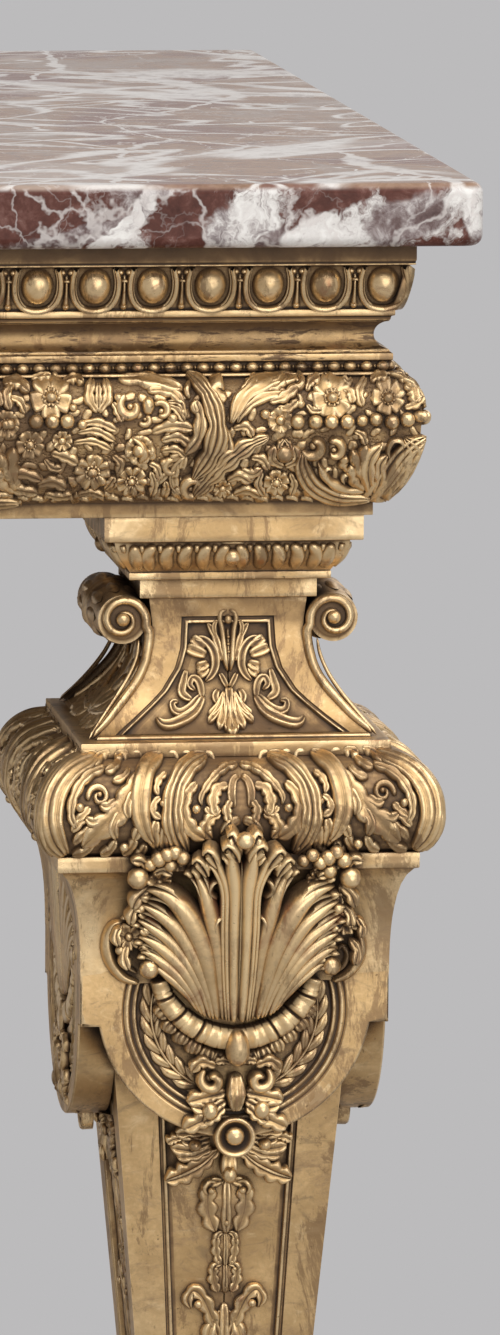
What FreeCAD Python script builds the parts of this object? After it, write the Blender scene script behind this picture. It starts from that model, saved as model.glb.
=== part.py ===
"""Pier table: a loose marble slab on a carved giltwood frame.

Units are millimetres.  Z is up and the origin is on the floor, under the
centre of the slab.  The length runs along X and the front faces -Y.
Mouldings are described by how far they stand out from a leg's axis.
"""
import FreeCAD
import Part
import math
import os

Vector = FreeCAD.Vector

# ---------------------------------------------------------------- slab
SLAB_LENGTH = 1400.0
SLAB_DEPTH = 760.0
SLAB_THICKNESS = 28.9
SLAB_OVERHANG = 27.0          # slab edge beyond the cornice
SLAB_CORNER_RADIUS = 9.0
SLAB_EDGE_RADIUS = 5.0

# ---------------------------------------------------------------- plan
BACK_LEG_INSET = 148.0        # back legs stand in from the frame's corners

# ------------------------------------------- heights, from the floor up
FOOT_HEIGHT = 92.0
PLINTH_HEIGHT = 46.0          # square block that takes the stretcher
ANKLE_HEIGHT = 30.0
SHAFT_HEIGHT = 385.7          # to the underside of the cap fillet
CAP_FILLET_HEIGHT = 7.5
CUSHION_HEIGHT = 43.3
BASE_PLATE_HEIGHT = 6.9
VOLUTE_BLOCK_HEIGHT = 62.3
NECK_PLATE_HEIGHT = 9.2
NECK_FILLET_HEIGHT = 3.4
ABACUS_OVOLO_HEIGHT = 15.8
ABACUS_PLATE_HEIGHT = 12.0
FRIEZE_FILLET_HEIGHT = 7.0
FRIEZE_HEIGHT = 59.9
BEAD_HEIGHT = 4.7
COVE_FILLET_HEIGHT = 3.6
COVE_HEIGHT = 14.7
CORNICE_LOW_FILLET_HEIGHT = 3.1
CORNICE_OVOLO_HEIGHT = 23.9
CORNICE_FILLET_HEIGHT = 10.1

# -------------------------------- reach of the courses from the leg axis
RAIL_FACE = 45.0
FRIEZE_FILLET_REACH = 63.3
FRIEZE_LOW_REACH = 66.0
FRIEZE_BULGE_REACH = 84.5
FRIEZE_TOP_REACH = 71.5
BEAD_REACH = 71.5
COVE_FILLET_REACH = 70.8
COVE_LOW_REACH = 69.0
COVE_THROAT_REACH = 63.0
COVE_TOP_REACH = 67.0
CORNICE_LOW_REACH = 70.0
CORNICE_OVOLO_REACH = 79.0
CORNICE_REACH = 80.0

# ------------------------------------------------------ rails and blocks
RAIL_THICKNESS = 25.0
TENON_LENGTH = 12.0
TENON_THICKNESS = 10.0
TENON_SHOULDER = 22.0         # height left above and below each tenon
BEARER_SPACING = 440.0
BEARER_THICKNESS = 24.0
BEARER_HEIGHT = 62.0
CORNER_BLOCK_WIDTH = 62.0
CORNER_BLOCK_HEIGHT = 112.0
JOINT_CLEARANCE = 0.1         # all round a tenon, rod or pin

# --------------------------------------------- half widths down the leg
ABACUS_HALF = 59.7
ABACUS_OVOLO_TOP_HALF = 56.0
NECK_FILLET_HALF = 46.6
NECK_HALF = 40.9
BLOCK_TOP_HALF = 39.5         # volute block, front to back, at its top
BLOCK_FOOT_HALF = 62.0        # and at the base plate
BLOCK_WAIST_HALF = 38.5       # volute block, side to side, at its waist
BLOCK_TOE_HALF = 66.5         # and at the base plate
WAIST_DROP = 20.0             # waist below the top of the block
VOLUTE_SPREAD = 48.9
VOLUTE_DROP = 9.7             # volute centre below the top of the block
VOLUTE_RADIUS = 11.4
VOLUTE_LENGTH = 81.0
BOLSTER_SWELL = 1.6
BASE_PLATE_HALF = 71.3
CUSHION_TOP_HALF = 72.5
CUSHION_BULGE_HALF = 92.0
CUSHION_LOW_HALF = 82.0
CAP_HALF = 83.3
LAPPET_FACE = 71.3
SHAFT_TOP_HALF = 55.4         # behind the lappet boards
SHAFT_FOOT_HALF = 27.5

# ----------------------------------------------------------- lappets
LAPPET_TOP_DROP = 10.0        # cove above the boards
LAPPET_EAR_HEIGHT = 63.5
LAPPET_TONGUE_RADIUS = 63.5
LAPPET_TONGUE_RISE = 10.8     # tongue centre above the foot of the ears
MEDALLION_RADIUS = 48.5
MEDALLION_DEPTH = 3.5
MEDALLION_DROP = 4.5          # its centre below the tongue's centre

# --------------------------------------------- palmettes and husk drops
PALMETTE_HALF_WIDTH = 47.0
PALMETTE_FOOT_HALF = 9.0
PALMETTE_HEIGHT = 84.0
PALMETTE_THICKNESS = 12.5
PALMETTE_TIP_REACH = 93.0
COLLAR_RADIUS = 35.2
COLLAR_THICKNESS = 11.0
COLLAR_LAP = 1.5              # collar laps over the palmette's foot
BOSS_RADIUS = 9.0
BOSS_HEIGHT = 42.0
BOSS_DROP = 27.0              # boss centre below the palmette's foot
HUSK_COUNT = 8
HUSK_PITCH = 27.0
HUSK_TOP_RADIUS = 4.5
HUSK_MOUTH_RADIUS = 10.5
HUSK_STEM_WIDTH = 8.0
HUSK_STEM_REACH = 2.5
HUSK_TOP_GAP = 6.0            # below the tongues of the lappets
PANEL_DEPTH = 3.0
PANEL_MARGIN_TOP = 19.0
PANEL_MARGIN_FOOT = 9.0
PANEL_END_MARGIN = 14.0

# ------------------------------------------------- plinths, feet, rods
PLINTH_HALF = 40.0
ANKLE_WAIST_HALF = 28.5
ANKLE_TORUS_HALF = 36.0
FOOT_REST_RADIUS = 27.0
FOOT_BELLY_RADIUS = 45.0
FOOT_NECK_RADIUS = 24.0
FOOT_COLLAR_RADIUS = 34.0
FOOT_COLLAR_HEIGHT = 9.0
FOOT_NECK_HEIGHT = 9.0
FOOT_CHAMFER = 4.0
ROD_RADIUS = 8.0
ROD_IN_SHAFT = 60.0
ROD_IN_CORNER_BLOCK = 80.0
FOOT_ROD_IN_FOOT = 50.0
FOOT_ROD_IN_SHAFT = 40.0
SCREW_RADIUS = 2.4
SCREW_HEAD_RADIUS = 5.0
SCREW_HEAD_HEIGHT = 3.0
SCREW_INTO_RAIL = 16.0
SCREW_FROM_ROD = 17.0         # screw line to rod axis
SCREW_DROP = 30.0             # upper screws below the top of the rails
SCREW_PITCH = 56.0

# ----------------------------------------------------------- stretcher
ARM_WIDTH = 44.0
ARM_HEIGHT = 26.0
ARM_RISE = 10.0               # arm above the foot of the plinth
ARM_CHAMFER = 4.0
HUB_RADIUS = 84.0
HUB_HEIGHT = 34.0
HUB_RISE = 6.0                # hub above the foot of the plinth
PIN_RADIUS = 5.0
PIN_LENGTH = 40.0
FINIAL_HEIGHT = 92.0
FINIAL_RADIUS = 34.0
FINIAL_NECK_RADIUS = 12.0
FINIAL_TIP_RADIUS = 3.0
FINIAL_FOOT_RADIUS = 26.0
FINIAL_PEG_RADIUS = 6.0
FINIAL_PEG_LENGTH = 18.0

# ------------------------------------------------------ derived heights
Z_PLINTH = FOOT_HEIGHT
Z_ANKLE = Z_PLINTH + PLINTH_HEIGHT
Z_SHAFT = Z_ANKLE + ANKLE_HEIGHT
Z_CAP = Z_SHAFT + SHAFT_HEIGHT
Z_CUSHION = Z_CAP + CAP_FILLET_HEIGHT
Z_BASE_PLATE = Z_CUSHION + CUSHION_HEIGHT
Z_BLOCK = Z_BASE_PLATE + BASE_PLATE_HEIGHT
Z_NECK = Z_BLOCK + VOLUTE_BLOCK_HEIGHT
Z_NECK_FILLET = Z_NECK + NECK_PLATE_HEIGHT
Z_ABACUS_OVOLO = Z_NECK_FILLET + NECK_FILLET_HEIGHT
Z_ABACUS = Z_ABACUS_OVOLO + ABACUS_OVOLO_HEIGHT
Z_FRAME = Z_ABACUS + ABACUS_PLATE_HEIGHT
Z_FRIEZE = Z_FRAME + FRIEZE_FILLET_HEIGHT
Z_BEAD = Z_FRIEZE + FRIEZE_HEIGHT
Z_COVE_FILLET = Z_BEAD + BEAD_HEIGHT
Z_COVE = Z_COVE_FILLET + COVE_FILLET_HEIGHT
Z_CORNICE = Z_COVE + COVE_HEIGHT
Z_OVOLO = Z_CORNICE + CORNICE_LOW_FILLET_HEIGHT
Z_CORNICE_FILLET = Z_OVOLO + CORNICE_OVOLO_HEIGHT
Z_SLAB = Z_CORNICE_FILLET + CORNICE_FILLET_HEIGHT

Z_LAPPET_TOP = Z_CAP - LAPPET_TOP_DROP
Z_EAR_FOOT = Z_LAPPET_TOP - LAPPET_EAR_HEIGHT
Z_TONGUE = Z_EAR_FOOT + LAPPET_TONGUE_RISE
Z_TONGUE_FOOT = Z_TONGUE - LAPPET_TONGUE_RADIUS
Z_ARM = Z_PLINTH + ARM_RISE
Z_HUB = Z_PLINTH + HUB_RISE

# ------------------------------------------------------ derived plan
LEG_X = SLAB_LENGTH / 2 - SLAB_OVERHANG - CORNICE_REACH
LEG_Y = SLAB_DEPTH / 2 - SLAB_OVERHANG - CORNICE_REACH
RAIL_X = LEG_X + RAIL_FACE
RAIL_Y = LEG_Y + RAIL_FACE
RAIL_INNER_X = RAIL_X - RAIL_THICKNESS
RAIL_INNER_Y = RAIL_Y - RAIL_THICKNESS
FRAME_HEIGHT = Z_SLAB - Z_FRAME
HOLE_RADIUS = ROD_RADIUS + JOINT_CLEARANCE
BACK_LEG_X = LEG_X - BACK_LEG_INSET
LEGS = {"front_left": (-LEG_X, -LEG_Y), "front_right": (LEG_X, -LEG_Y),
        "back_left": (-BACK_LEG_X, LEG_Y), "back_right": (BACK_LEG_X, LEG_Y)}


# ------------------------------------------------------------- helpers
def box(x0, x1, y0, y1, z0, z1):
    return Part.makeBox(x1 - x0, y1 - y0, z1 - z0, Vector(x0, y0, z0))


def rod(radius, z0, z1, x=0.0, y=0.0):
    return Part.makeCylinder(radius, z1 - z0, Vector(x, y, z0))


def outline(points, place):
    """Closed face from 2D points; (u, v, u_mid, v_mid) ends an arc."""
    edges = []
    last = points[0][:2]
    for point in list(points[1:]) + [points[0][:2]]:
        end = point[:2]
        a = place(*last)
        b = place(*end)
        if len(point) == 4:
            edges.append(Part.Arc(a, place(*point[2:]), b).toShape())
        elif a.distanceToPoint(b) > 1e-6:
            edges.append(Part.LineSegment(a, b).toShape())
        last = end
    return Part.Face(Part.Wire(edges))


def turned(points):
    """Solid of revolution about Z from (radius, z) points."""
    face = outline(points, lambda r, z: Vector(r, 0, z))
    return face.revolve(Vector(0, 0, 0), Vector(0, 0, 1), 360)


def double_profile(points, across_x):
    """Prism whose outline is symmetric about Z, from (reach, z) points."""
    mirrored = [(-points[0][0],) + tuple(points[0][1:2])]
    for before, point in zip(points, points[1:]):
        mid = (-point[2], point[3]) if len(point) == 4 else ()
        mirrored.append((-point[0], point[1]) + mid)
    right = list(points)
    left = []
    flipped = mirrored[::-1]
    mids = [p[2:] for p in mirrored][::-1]
    for index, point in enumerate(flipped):
        mid = mids[index - 1] if index else ()
        left.append(tuple(point[:2]) + tuple(mid))
    length = 4 * max(p[0] for p in points)
    if across_x:
        face = outline(right + left, lambda u, z: Vector(-length / 2, u, z))
        return face.extrude(Vector(length, 0, 0))
    face = outline(right + left, lambda u, z: Vector(u, -length / 2, z))
    return face.extrude(Vector(0, length, 0))


def square_moulding(points):
    """Moulding that returns round a square, from (half width, z) points."""
    return double_profile(points, True).common(double_profile(points, False))


def spin(shape, angle):
    copy = shape.copy()
    copy.rotate(Vector(0, 0, 0), Vector(0, 0, 1), angle)
    return copy


def four_faces(shape):
    """A piece on the front of a leg, repeated on its four faces."""
    return [spin(shape, angle) for angle in (0, 90, 180, 270)]


def at_leg(shape, leg):
    copy = shape.copy()
    copy.translate(Vector(LEGS[leg][0], LEGS[leg][1], 0))
    return copy


def single(shape):
    """The one solid of a cut or fused shape."""
    solids = shape.Solids
    if len(solids) != 1:
        raise ValueError("expected one solid, found %d" % len(solids))
    return solids[0]


def both_ends(shape):
    """A shape at the right end of the table, and its mirror at the left."""
    return [shape, shape.mirror(Vector(0, 0, 0), Vector(1, 0, 0))]


def quarter_copies(shape):
    """A shape in the +X +Y quarter, mirrored into all four quarters."""
    pair = both_ends(shape)
    return pair + [s.mirror(Vector(0, 0, 0), Vector(0, 1, 0)) for s in pair]


def export(name, solids):
    shape = solids[0] if len(solids) == 1 else Part.makeCompound(solids)
    shape.exportStep("parts/%s.step" % name)


# ---------------------------------------------------------------- slab
def marble_top():
    half_x = SLAB_LENGTH / 2
    half_y = SLAB_DEPTH / 2
    slab = box(-half_x, half_x, -half_y, half_y, Z_SLAB, Z_SLAB + SLAB_THICKNESS)
    upright = [e for e in slab.Edges if abs(e.BoundBox.ZLength) > SLAB_THICKNESS / 2]
    slab = slab.makeFillet(SLAB_CORNER_RADIUS, upright)
    level = [e for e in slab.Edges if e.BoundBox.ZLength < SLAB_THICKNESS / 10]
    return slab.makeFillet(SLAB_EDGE_RADIUS, level)


# ------------------------------------------------- mitred mould courses
def mitre_wedge(along_x):
    """Ground plan of one side between its two mitres."""
    out = 2 * CORNICE_REACH
    near = RAIL_Y if along_x else RAIL_X
    half = RAIL_X if along_x else RAIL_Y
    back = RAIL_THICKNESS
    plan = [(-half - out, near + out), (half + out, near + out),
            (half - back, near - back), (-half + back, near - back)]
    if along_x:
        face = outline(plan, lambda u, v: Vector(u, v, 0))
    else:
        face = outline(plan, lambda u, v: Vector(v, u, 0))
    return face.extrude(Vector(0, 0, 2 * Z_SLAB))


def course(points):
    """The four mitred sides of a moulding, from (reach, z) points."""
    sides = {}
    for along_x, names in ((True, ("back", "front")), (False, ("right", "left"))):
        axis_to_leg = LEG_Y if along_x else LEG_X
        length = 4 * (RAIL_X + CORNICE_REACH)
        if along_x:
            face = outline(points, lambda r, z: Vector(-length / 2, axis_to_leg + r, z))
            bar = face.extrude(Vector(length, 0, 0))
        else:
            face = outline(points, lambda r, z: Vector(axis_to_leg + r, -length / 2, z))
            bar = face.extrude(Vector(0, length, 0))
        piece = single(bar.common(mitre_wedge(along_x)))
        sides[names[0]] = piece
        sides[names[1]] = spin(piece, 180)
    return sides


def frieze_course():
    middle = Z_FRIEZE + 0.66 * FRIEZE_HEIGHT
    return course([
        (RAIL_FACE, Z_FRAME), (FRIEZE_FILLET_REACH, Z_FRAME),
        (FRIEZE_FILLET_REACH, Z_FRIEZE), (FRIEZE_LOW_REACH, Z_FRIEZE),
        (FRIEZE_TOP_REACH, Z_BEAD, FRIEZE_BULGE_REACH, middle),
        (RAIL_FACE, Z_BEAD)])


def cove_course():
    middle = Z_COVE + 0.6 * COVE_HEIGHT
    return course([
        (RAIL_FACE, Z_BEAD), (BEAD_REACH, Z_BEAD), (BEAD_REACH, Z_COVE_FILLET),
        (COVE_FILLET_REACH, Z_COVE_FILLET), (COVE_FILLET_REACH, Z_COVE),
        (COVE_LOW_REACH, Z_COVE),
        (COVE_TOP_REACH, Z_CORNICE, COVE_THROAT_REACH, middle),
        (RAIL_FACE, Z_CORNICE)])


def cornice_course():
    shoulder = Z_OVOLO + 0.62 * CORNICE_OVOLO_HEIGHT
    return course([
        (RAIL_FACE, Z_CORNICE), (CORNICE_LOW_REACH, Z_CORNICE),
        (CORNICE_LOW_REACH, Z_OVOLO),
        (CORNICE_OVOLO_REACH - 1, Z_CORNICE_FILLET, CORNICE_OVOLO_REACH, shoulder),
        (CORNICE_REACH, Z_CORNICE_FILLET), (CORNICE_REACH, Z_SLAB),
        (RAIL_FACE, Z_SLAB)])


# ---------------------------------------------------- rails and blocks
def rail_tenon(clearance):
    """Tenon of the right rail into the back rail."""
    middle = RAIL_X - RAIL_THICKNESS / 2
    half = TENON_THICKNESS / 2 + clearance
    return box(middle - half, middle + half,
               RAIL_INNER_Y - clearance, RAIL_INNER_Y + TENON_LENGTH + clearance,
               Z_FRAME + TENON_SHOULDER - clearance,
               Z_SLAB - TENON_SHOULDER + clearance)


def bearer_tenon(clearance):
    """Stub tenon of the right bearer into the back rail."""
    middle = BEARER_SPACING / 2
    half = TENON_THICKNESS / 2 + clearance
    shoulder = BEARER_HEIGHT / 4
    return box(middle - half, middle + half,
               RAIL_INNER_Y - clearance, RAIL_INNER_Y + TENON_LENGTH + clearance,
               Z_SLAB - BEARER_HEIGHT + shoulder - clearance,
               Z_SLAB - shoulder + clearance)


def rails():
    back = box(-RAIL_X, RAIL_X, RAIL_INNER_Y, RAIL_Y, Z_FRAME, Z_SLAB)
    side = box(RAIL_INNER_X, RAIL_X, -RAIL_INNER_Y, RAIL_INNER_Y, Z_FRAME, Z_SLAB)
    for mortise in quarter_copies(rail_tenon(JOINT_CLEARANCE)):
        back = back.cut(mortise)
    for mortise in quarter_copies(bearer_tenon(JOINT_CLEARANCE)):
        back = back.cut(mortise)
    tenon = rail_tenon(0)
    side = side.fuse([tenon, tenon.mirror(Vector(0, 0, 0), Vector(0, 1, 0))])
    side = side.removeSplitter()
    for hole in corner_screws(JOINT_CLEARANCE):
        back = back.cut(hole)
        side = side.cut(hole)
    front = spin(single(back), 180)
    for hole in leg_block_screws(JOINT_CLEARANCE):
        back = back.cut(hole)
    return {"back": single(back), "front": front,
            "right": single(side), "left": spin(single(side), 180)}


def bearer():
    middle = BEARER_SPACING / 2
    half = BEARER_THICKNESS / 2
    bar = box(middle - half, middle + half, -RAIL_INNER_Y, RAIL_INNER_Y,
              Z_SLAB - BEARER_HEIGHT, Z_SLAB)
    tenon = bearer_tenon(0)
    bar = bar.fuse([tenon, tenon.mirror(Vector(0, 0, 0), Vector(0, 1, 0))])
    return single(bar.removeSplitter())


def screw(start, way, clearance):
    """One screw from the open face of a block, or the hole that it takes."""
    length = CORNER_BLOCK_WIDTH + SCREW_INTO_RAIL + clearance
    shank = Part.makeCylinder(SCREW_RADIUS + clearance, length, start, way)
    if clearance:
        return shank
    head = Part.makeCylinder(SCREW_HEAD_RADIUS, SCREW_HEAD_HEIGHT,
                             start - way * SCREW_HEAD_HEIGHT, way)
    return single(shank.fuse(head).removeSplitter())


def corner_screws(clearance):
    """Screws through the corner blocks into both rails, all four corners."""
    found = []
    for level in (0, 1):
        z = Z_SLAB - SCREW_DROP - level * SCREW_PITCH
        into_side = Vector(RAIL_INNER_X - CORNER_BLOCK_WIDTH,
                           LEG_Y - SCREW_FROM_ROD, z)
        into_back = Vector(LEG_X - SCREW_FROM_ROD,
                           RAIL_INNER_Y - CORNER_BLOCK_WIDTH, z - SCREW_PITCH / 2)
        found += quarter_copies(screw(into_side, Vector(1, 0, 0), clearance))
        found += quarter_copies(screw(into_back, Vector(0, 1, 0), clearance))
    return found


def leg_block_screws(clearance):
    """Screws through the leg blocks into the back rail, beside each rod."""
    found = []
    for level, side in enumerate((-1, 1)):
        start = Vector(BACK_LEG_X + side * SCREW_FROM_ROD,
                       RAIL_INNER_Y - CORNER_BLOCK_WIDTH,
                       Z_SLAB - SCREW_DROP - level * SCREW_PITCH)
        found += both_ends(screw(start, Vector(0, 1, 0), clearance))
    return found


def corner_blocks():
    block = box(RAIL_INNER_X - CORNER_BLOCK_WIDTH, RAIL_INNER_X,
                RAIL_INNER_Y - CORNER_BLOCK_WIDTH, RAIL_INNER_Y,
                Z_FRAME, Z_FRAME + CORNER_BLOCK_HEIGHT)
    for hole in corner_screws(JOINT_CLEARANCE):
        block = block.cut(hole)
    hole = upper_rod(JOINT_CLEARANCE)
    return [single(copy.cut([at_leg(hole, "front_left"), at_leg(hole, "front_right")]))
            for copy in quarter_copies(single(block))]


def leg_blocks():
    """Blocks behind the back rail that take the rods of the back legs."""
    half = CORNER_BLOCK_WIDTH / 2
    block = box(BACK_LEG_X - half, BACK_LEG_X + half,
                RAIL_INNER_Y - CORNER_BLOCK_WIDTH, RAIL_INNER_Y,
                Z_FRAME, Z_FRAME + CORNER_BLOCK_HEIGHT)
    block = block.cut(at_leg(upper_rod(JOINT_CLEARANCE), "back_right"))
    for hole in leg_block_screws(JOINT_CLEARANCE):
        block = block.cut(hole)
    return both_ends(single(block))


# ------------------------------------------------------------ leg parts
def upper_rod(clearance):
    return rod(ROD_RADIUS + clearance, Z_CAP - ROD_IN_SHAFT - clearance,
               Z_FRAME + ROD_IN_CORNER_BLOCK + clearance)


def lower_rod(clearance):
    return rod(ROD_RADIUS + clearance, Z_PLINTH - FOOT_ROD_IN_FOOT - clearance,
               Z_SHAFT + FOOT_ROD_IN_SHAFT + clearance)


def abacus():
    mid_half = (ABACUS_OVOLO_TOP_HALF + NECK_FILLET_HALF) / 2 + 2.5
    mid_z = Z_ABACUS_OVOLO + ABACUS_OVOLO_HEIGHT / 2
    body = square_moulding([
        (NECK_HALF, Z_NECK), (NECK_HALF, Z_NECK_FILLET),
        (NECK_FILLET_HALF, Z_NECK_FILLET), (NECK_FILLET_HALF, Z_ABACUS_OVOLO),
        (ABACUS_OVOLO_TOP_HALF, Z_ABACUS, mid_half, mid_z),
        (ABACUS_HALF, Z_ABACUS), (ABACUS_HALF, Z_FRAME)])
    return single(body.cut(upper_rod(JOINT_CLEARANCE)))


def bolster():
    """Right volute roll: a flat-ended cylinder, swollen at mid length."""
    half = VOLUTE_LENGTH / 2
    face = outline(
        [(0, -half), (VOLUTE_RADIUS, -half),
         (VOLUTE_RADIUS, half, VOLUTE_RADIUS + BOLSTER_SWELL, 0), (0, half)],
        lambda r, y: Vector(r, y, 0))
    roll = face.revolve(Vector(0, 0, 0), Vector(0, 1, 0), 360)
    roll.translate(Vector(VOLUTE_SPREAD, 0, Z_NECK - VOLUTE_DROP))
    return roll


def capital():
    waist = Z_NECK - WAIST_DROP
    low = Z_BLOCK + 0.30 * (waist - Z_BLOCK)
    low_half = BLOCK_WAIST_HALF + 0.38 * (BLOCK_TOE_HALF - BLOCK_WAIST_HALF)
    across = double_profile([
        (BLOCK_TOE_HALF, Z_BLOCK),
        (BLOCK_WAIST_HALF, waist, low_half, low),
        (BLOCK_WAIST_HALF, Z_NECK)], False)
    bend = Z_BLOCK + 0.25 * VOLUTE_BLOCK_HEIGHT
    bend_half = BLOCK_TOP_HALF + 0.33 * (BLOCK_FOOT_HALF - BLOCK_TOP_HALF)
    deep = double_profile([
        (BLOCK_FOOT_HALF, Z_BLOCK),
        (BLOCK_TOP_HALF, Z_BLOCK + 0.7 * VOLUTE_BLOCK_HEIGHT, bend_half, bend),
        (BLOCK_TOP_HALF, Z_NECK)], True)
    block = across.common(deep)
    plate = box(-BASE_PLATE_HALF, BASE_PLATE_HALF, -BASE_PLATE_HALF, BASE_PLATE_HALF,
                Z_BASE_PLATE, Z_BLOCK)
    roll = bolster()
    ceiling = box(-BASE_PLATE_HALF, NECK_HALF, -BASE_PLATE_HALF, BASE_PLATE_HALF,
                  Z_NECK, Z_NECK + VOLUTE_RADIUS)
    roll = roll.cut(ceiling)
    body = block.fuse([plate, roll, roll.mirror(Vector(0, 0, 0), Vector(1, 0, 0))])
    return single(body.removeSplitter().cut(upper_rod(JOINT_CLEARANCE)))


def cushion():
    bulge = Z_CUSHION + 0.46 * CUSHION_HEIGHT
    body = square_moulding([
        (CUSHION_LOW_HALF, Z_CUSHION),
        (CUSHION_BULGE_HALF, bulge,
         CUSHION_BULGE_HALF - 2.6, Z_CUSHION + 0.2 * CUSHION_HEIGHT),
        (CUSHION_TOP_HALF, Z_BASE_PLATE,
         CUSHION_BULGE_HALF - 5.5, Z_CUSHION + 0.82 * CUSHION_HEIGHT)])
    return single(body.cut(upper_rod(JOINT_CLEARANCE)))


def shaft_half(z):
    """Half width of the shaft: straight behind the ears, tapered below."""
    if z >= Z_EAR_FOOT:
        return SHAFT_TOP_HALF
    share = (z - Z_SHAFT) / (Z_EAR_FOOT - Z_SHAFT)
    return SHAFT_FOOT_HALF + share * (SHAFT_TOP_HALF - SHAFT_FOOT_HALF)


def shaft_panel():
    """Sunk panel on the front of the shaft."""
    top = Z_TONGUE_FOOT + PANEL_END_MARGIN
    foot = Z_SHAFT + PANEL_END_MARGIN
    half_top = shaft_half(top) - PANEL_MARGIN_TOP
    half_foot = shaft_half(foot) - PANEL_MARGIN_FOOT
    front = outline([(-half_foot, foot), (half_foot, foot), (half_top, top),
                     (-half_top, top)], lambda x, z: Vector(x, -2 * SHAFT_TOP_HALF, z))
    front = front.extrude(Vector(0, 2 * SHAFT_TOP_HALF, 0))
    ground_top = shaft_half(top) - PANEL_DEPTH
    ground_foot = shaft_half(foot) - PANEL_DEPTH
    side = outline([(-ground_foot, foot), (-ground_top, top), (-2 * SHAFT_TOP_HALF, top),
                    (-2 * SHAFT_TOP_HALF, foot)],
                   lambda y, z: Vector(-SHAFT_TOP_HALF, y, z))
    return front.common(side.extrude(Vector(2 * SHAFT_TOP_HALF, 0, 0)))


def shaft():
    bend_half = (LAPPET_FACE + CAP_HALF) / 2 - 2.5
    bend = Z_CAP - 0.42 * LAPPET_TOP_DROP
    body = square_moulding([
        (SHAFT_FOOT_HALF, Z_SHAFT), (SHAFT_TOP_HALF, Z_EAR_FOOT),
        (SHAFT_TOP_HALF, Z_LAPPET_TOP), (LAPPET_FACE, Z_LAPPET_TOP),
        (CAP_HALF - 2, Z_CAP, bend_half, bend),
        (CAP_HALF, Z_CAP), (CAP_HALF, Z_CUSHION)])
    for panel in four_faces(shaft_panel()):
        body = body.cut(panel)
    body = body.cut(upper_rod(JOINT_CLEARANCE))
    return single(body.cut(lower_rod(JOINT_CLEARANCE)))


def lappet(leg_shaft):
    """Front board: square ears above, round tongue below, mitred edges."""
    ears = box(-LAPPET_FACE, LAPPET_FACE, -LAPPET_FACE, -SHAFT_FOOT_HALF,
               Z_EAR_FOOT, Z_LAPPET_TOP)
    disc = Part.makeCylinder(LAPPET_TONGUE_RADIUS, LAPPET_FACE - SHAFT_FOOT_HALF,
                             Vector(0, -LAPPET_FACE, Z_TONGUE), Vector(0, 1, 0))
    tongue = disc.common(box(-LAPPET_FACE, LAPPET_FACE, -LAPPET_FACE, 0,
                             Z_TONGUE_FOOT, Z_LAPPET_TOP))
    board = ears.fuse(tongue).removeSplitter()
    medallion = Part.makeCylinder(
        MEDALLION_RADIUS, MEDALLION_DEPTH,
        Vector(0, -LAPPET_FACE, Z_TONGUE - MEDALLION_DROP), Vector(0, 1, 0))
    board = board.cut(medallion)
    reach = LAPPET_FACE + 1
    wedge = outline([(0, 0), (reach, -reach), (-reach, -reach)],
                    lambda x, y: Vector(x, y, Z_TONGUE_FOOT - 1))
    board = board.common(wedge.extrude(Vector(0, 0, Z_CAP - Z_TONGUE_FOOT)))
    back = shaft_half(Z_TONGUE_FOOT)
    core = square_moulding([(back, Z_TONGUE_FOOT - 1), (SHAFT_TOP_HALF, Z_EAR_FOOT),
                            (SHAFT_TOP_HALF, Z_CAP)])
    return single(board.cut(core))


def palmette(leg_shaft, leg_cushion):
    """Shell with its collar and boss, high enough for front and back only."""
    foot = Z_EAR_FOOT + 0.5
    half = PALMETTE_HALF_WIDTH
    height = PALMETTE_HEIGHT
    right = [(PALMETTE_FOOT_HALF, 0), (0.93, 0.21), (1.0, 0.45), (0.97, 0.73),
             (0.62, 0.85), (0.30, 0.96), (0, 1.0)]
    fan = [(PALMETTE_FOOT_HALF, foot)]
    fan += [(u * half, foot + v * height) for u, v in right[1:]]
    fan += [(-u, z) for u, z in fan[-2::-1]]
    face = outline(fan, lambda x, z: Vector(x, -2 * PALMETTE_TIP_REACH, z))
    face = face.extrude(Vector(0, 2 * PALMETTE_TIP_REACH, 0))
    ground = LAPPET_FACE - MEDALLION_DEPTH
    swell = LAPPET_FACE + PALMETTE_THICKNESS
    side = outline([
        (-ground, foot), (-LAPPET_FACE - PALMETTE_THICKNESS / 2, foot),
        (-swell, foot + 0.45 * height, -swell - 1.5, foot + 0.25 * height),
        (-PALMETTE_TIP_REACH, foot + height, -swell - 1.5, foot + 0.75 * height),
        (-ground, foot + height)], lambda y, z: Vector(-half, y, z))
    fan_solid = face.common(side.extrude(Vector(2 * half, 0, 0)))
    medallion = Part.makeCylinder(
        MEDALLION_RADIUS, MEDALLION_DEPTH + 1,
        Vector(0, -LAPPET_FACE - 1, Z_TONGUE - MEDALLION_DROP), Vector(0, 1, 0))
    behind = box(-half, half, -LAPPET_FACE, 0, foot, Z_CAP).cut(medallion)
    centre = foot + COLLAR_LAP + COLLAR_RADIUS - COLLAR_THICKNESS / 2
    collar = Part.makeTorus(COLLAR_RADIUS, COLLAR_THICKNESS / 2,
                            Vector(0, -LAPPET_FACE - COLLAR_THICKNESS / 4, centre),
                            Vector(0, 1, 0))
    under = box(-half, half, -2 * LAPPET_FACE, -ground, foot - height, centre)
    collar = collar.common(under)
    boss_z = foot - BOSS_DROP
    boss = Part.makeCone(BOSS_RADIUS, BOSS_RADIUS / 2, BOSS_HEIGHT,
                         Vector(0, -LAPPET_FACE, boss_z - BOSS_HEIGHT / 2))
    boss = boss.common(box(-half, half, -2 * LAPPET_FACE, -ground,
                           foot - height, foot + height))
    body = fan_solid.fuse([collar, boss])
    below = box(-half, half, -LAPPET_FACE, 0, Z_TONGUE_FOOT - height, foot)
    body = body.cut([behind, below.cut(medallion), leg_shaft, leg_cushion])
    return single(body)


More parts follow.
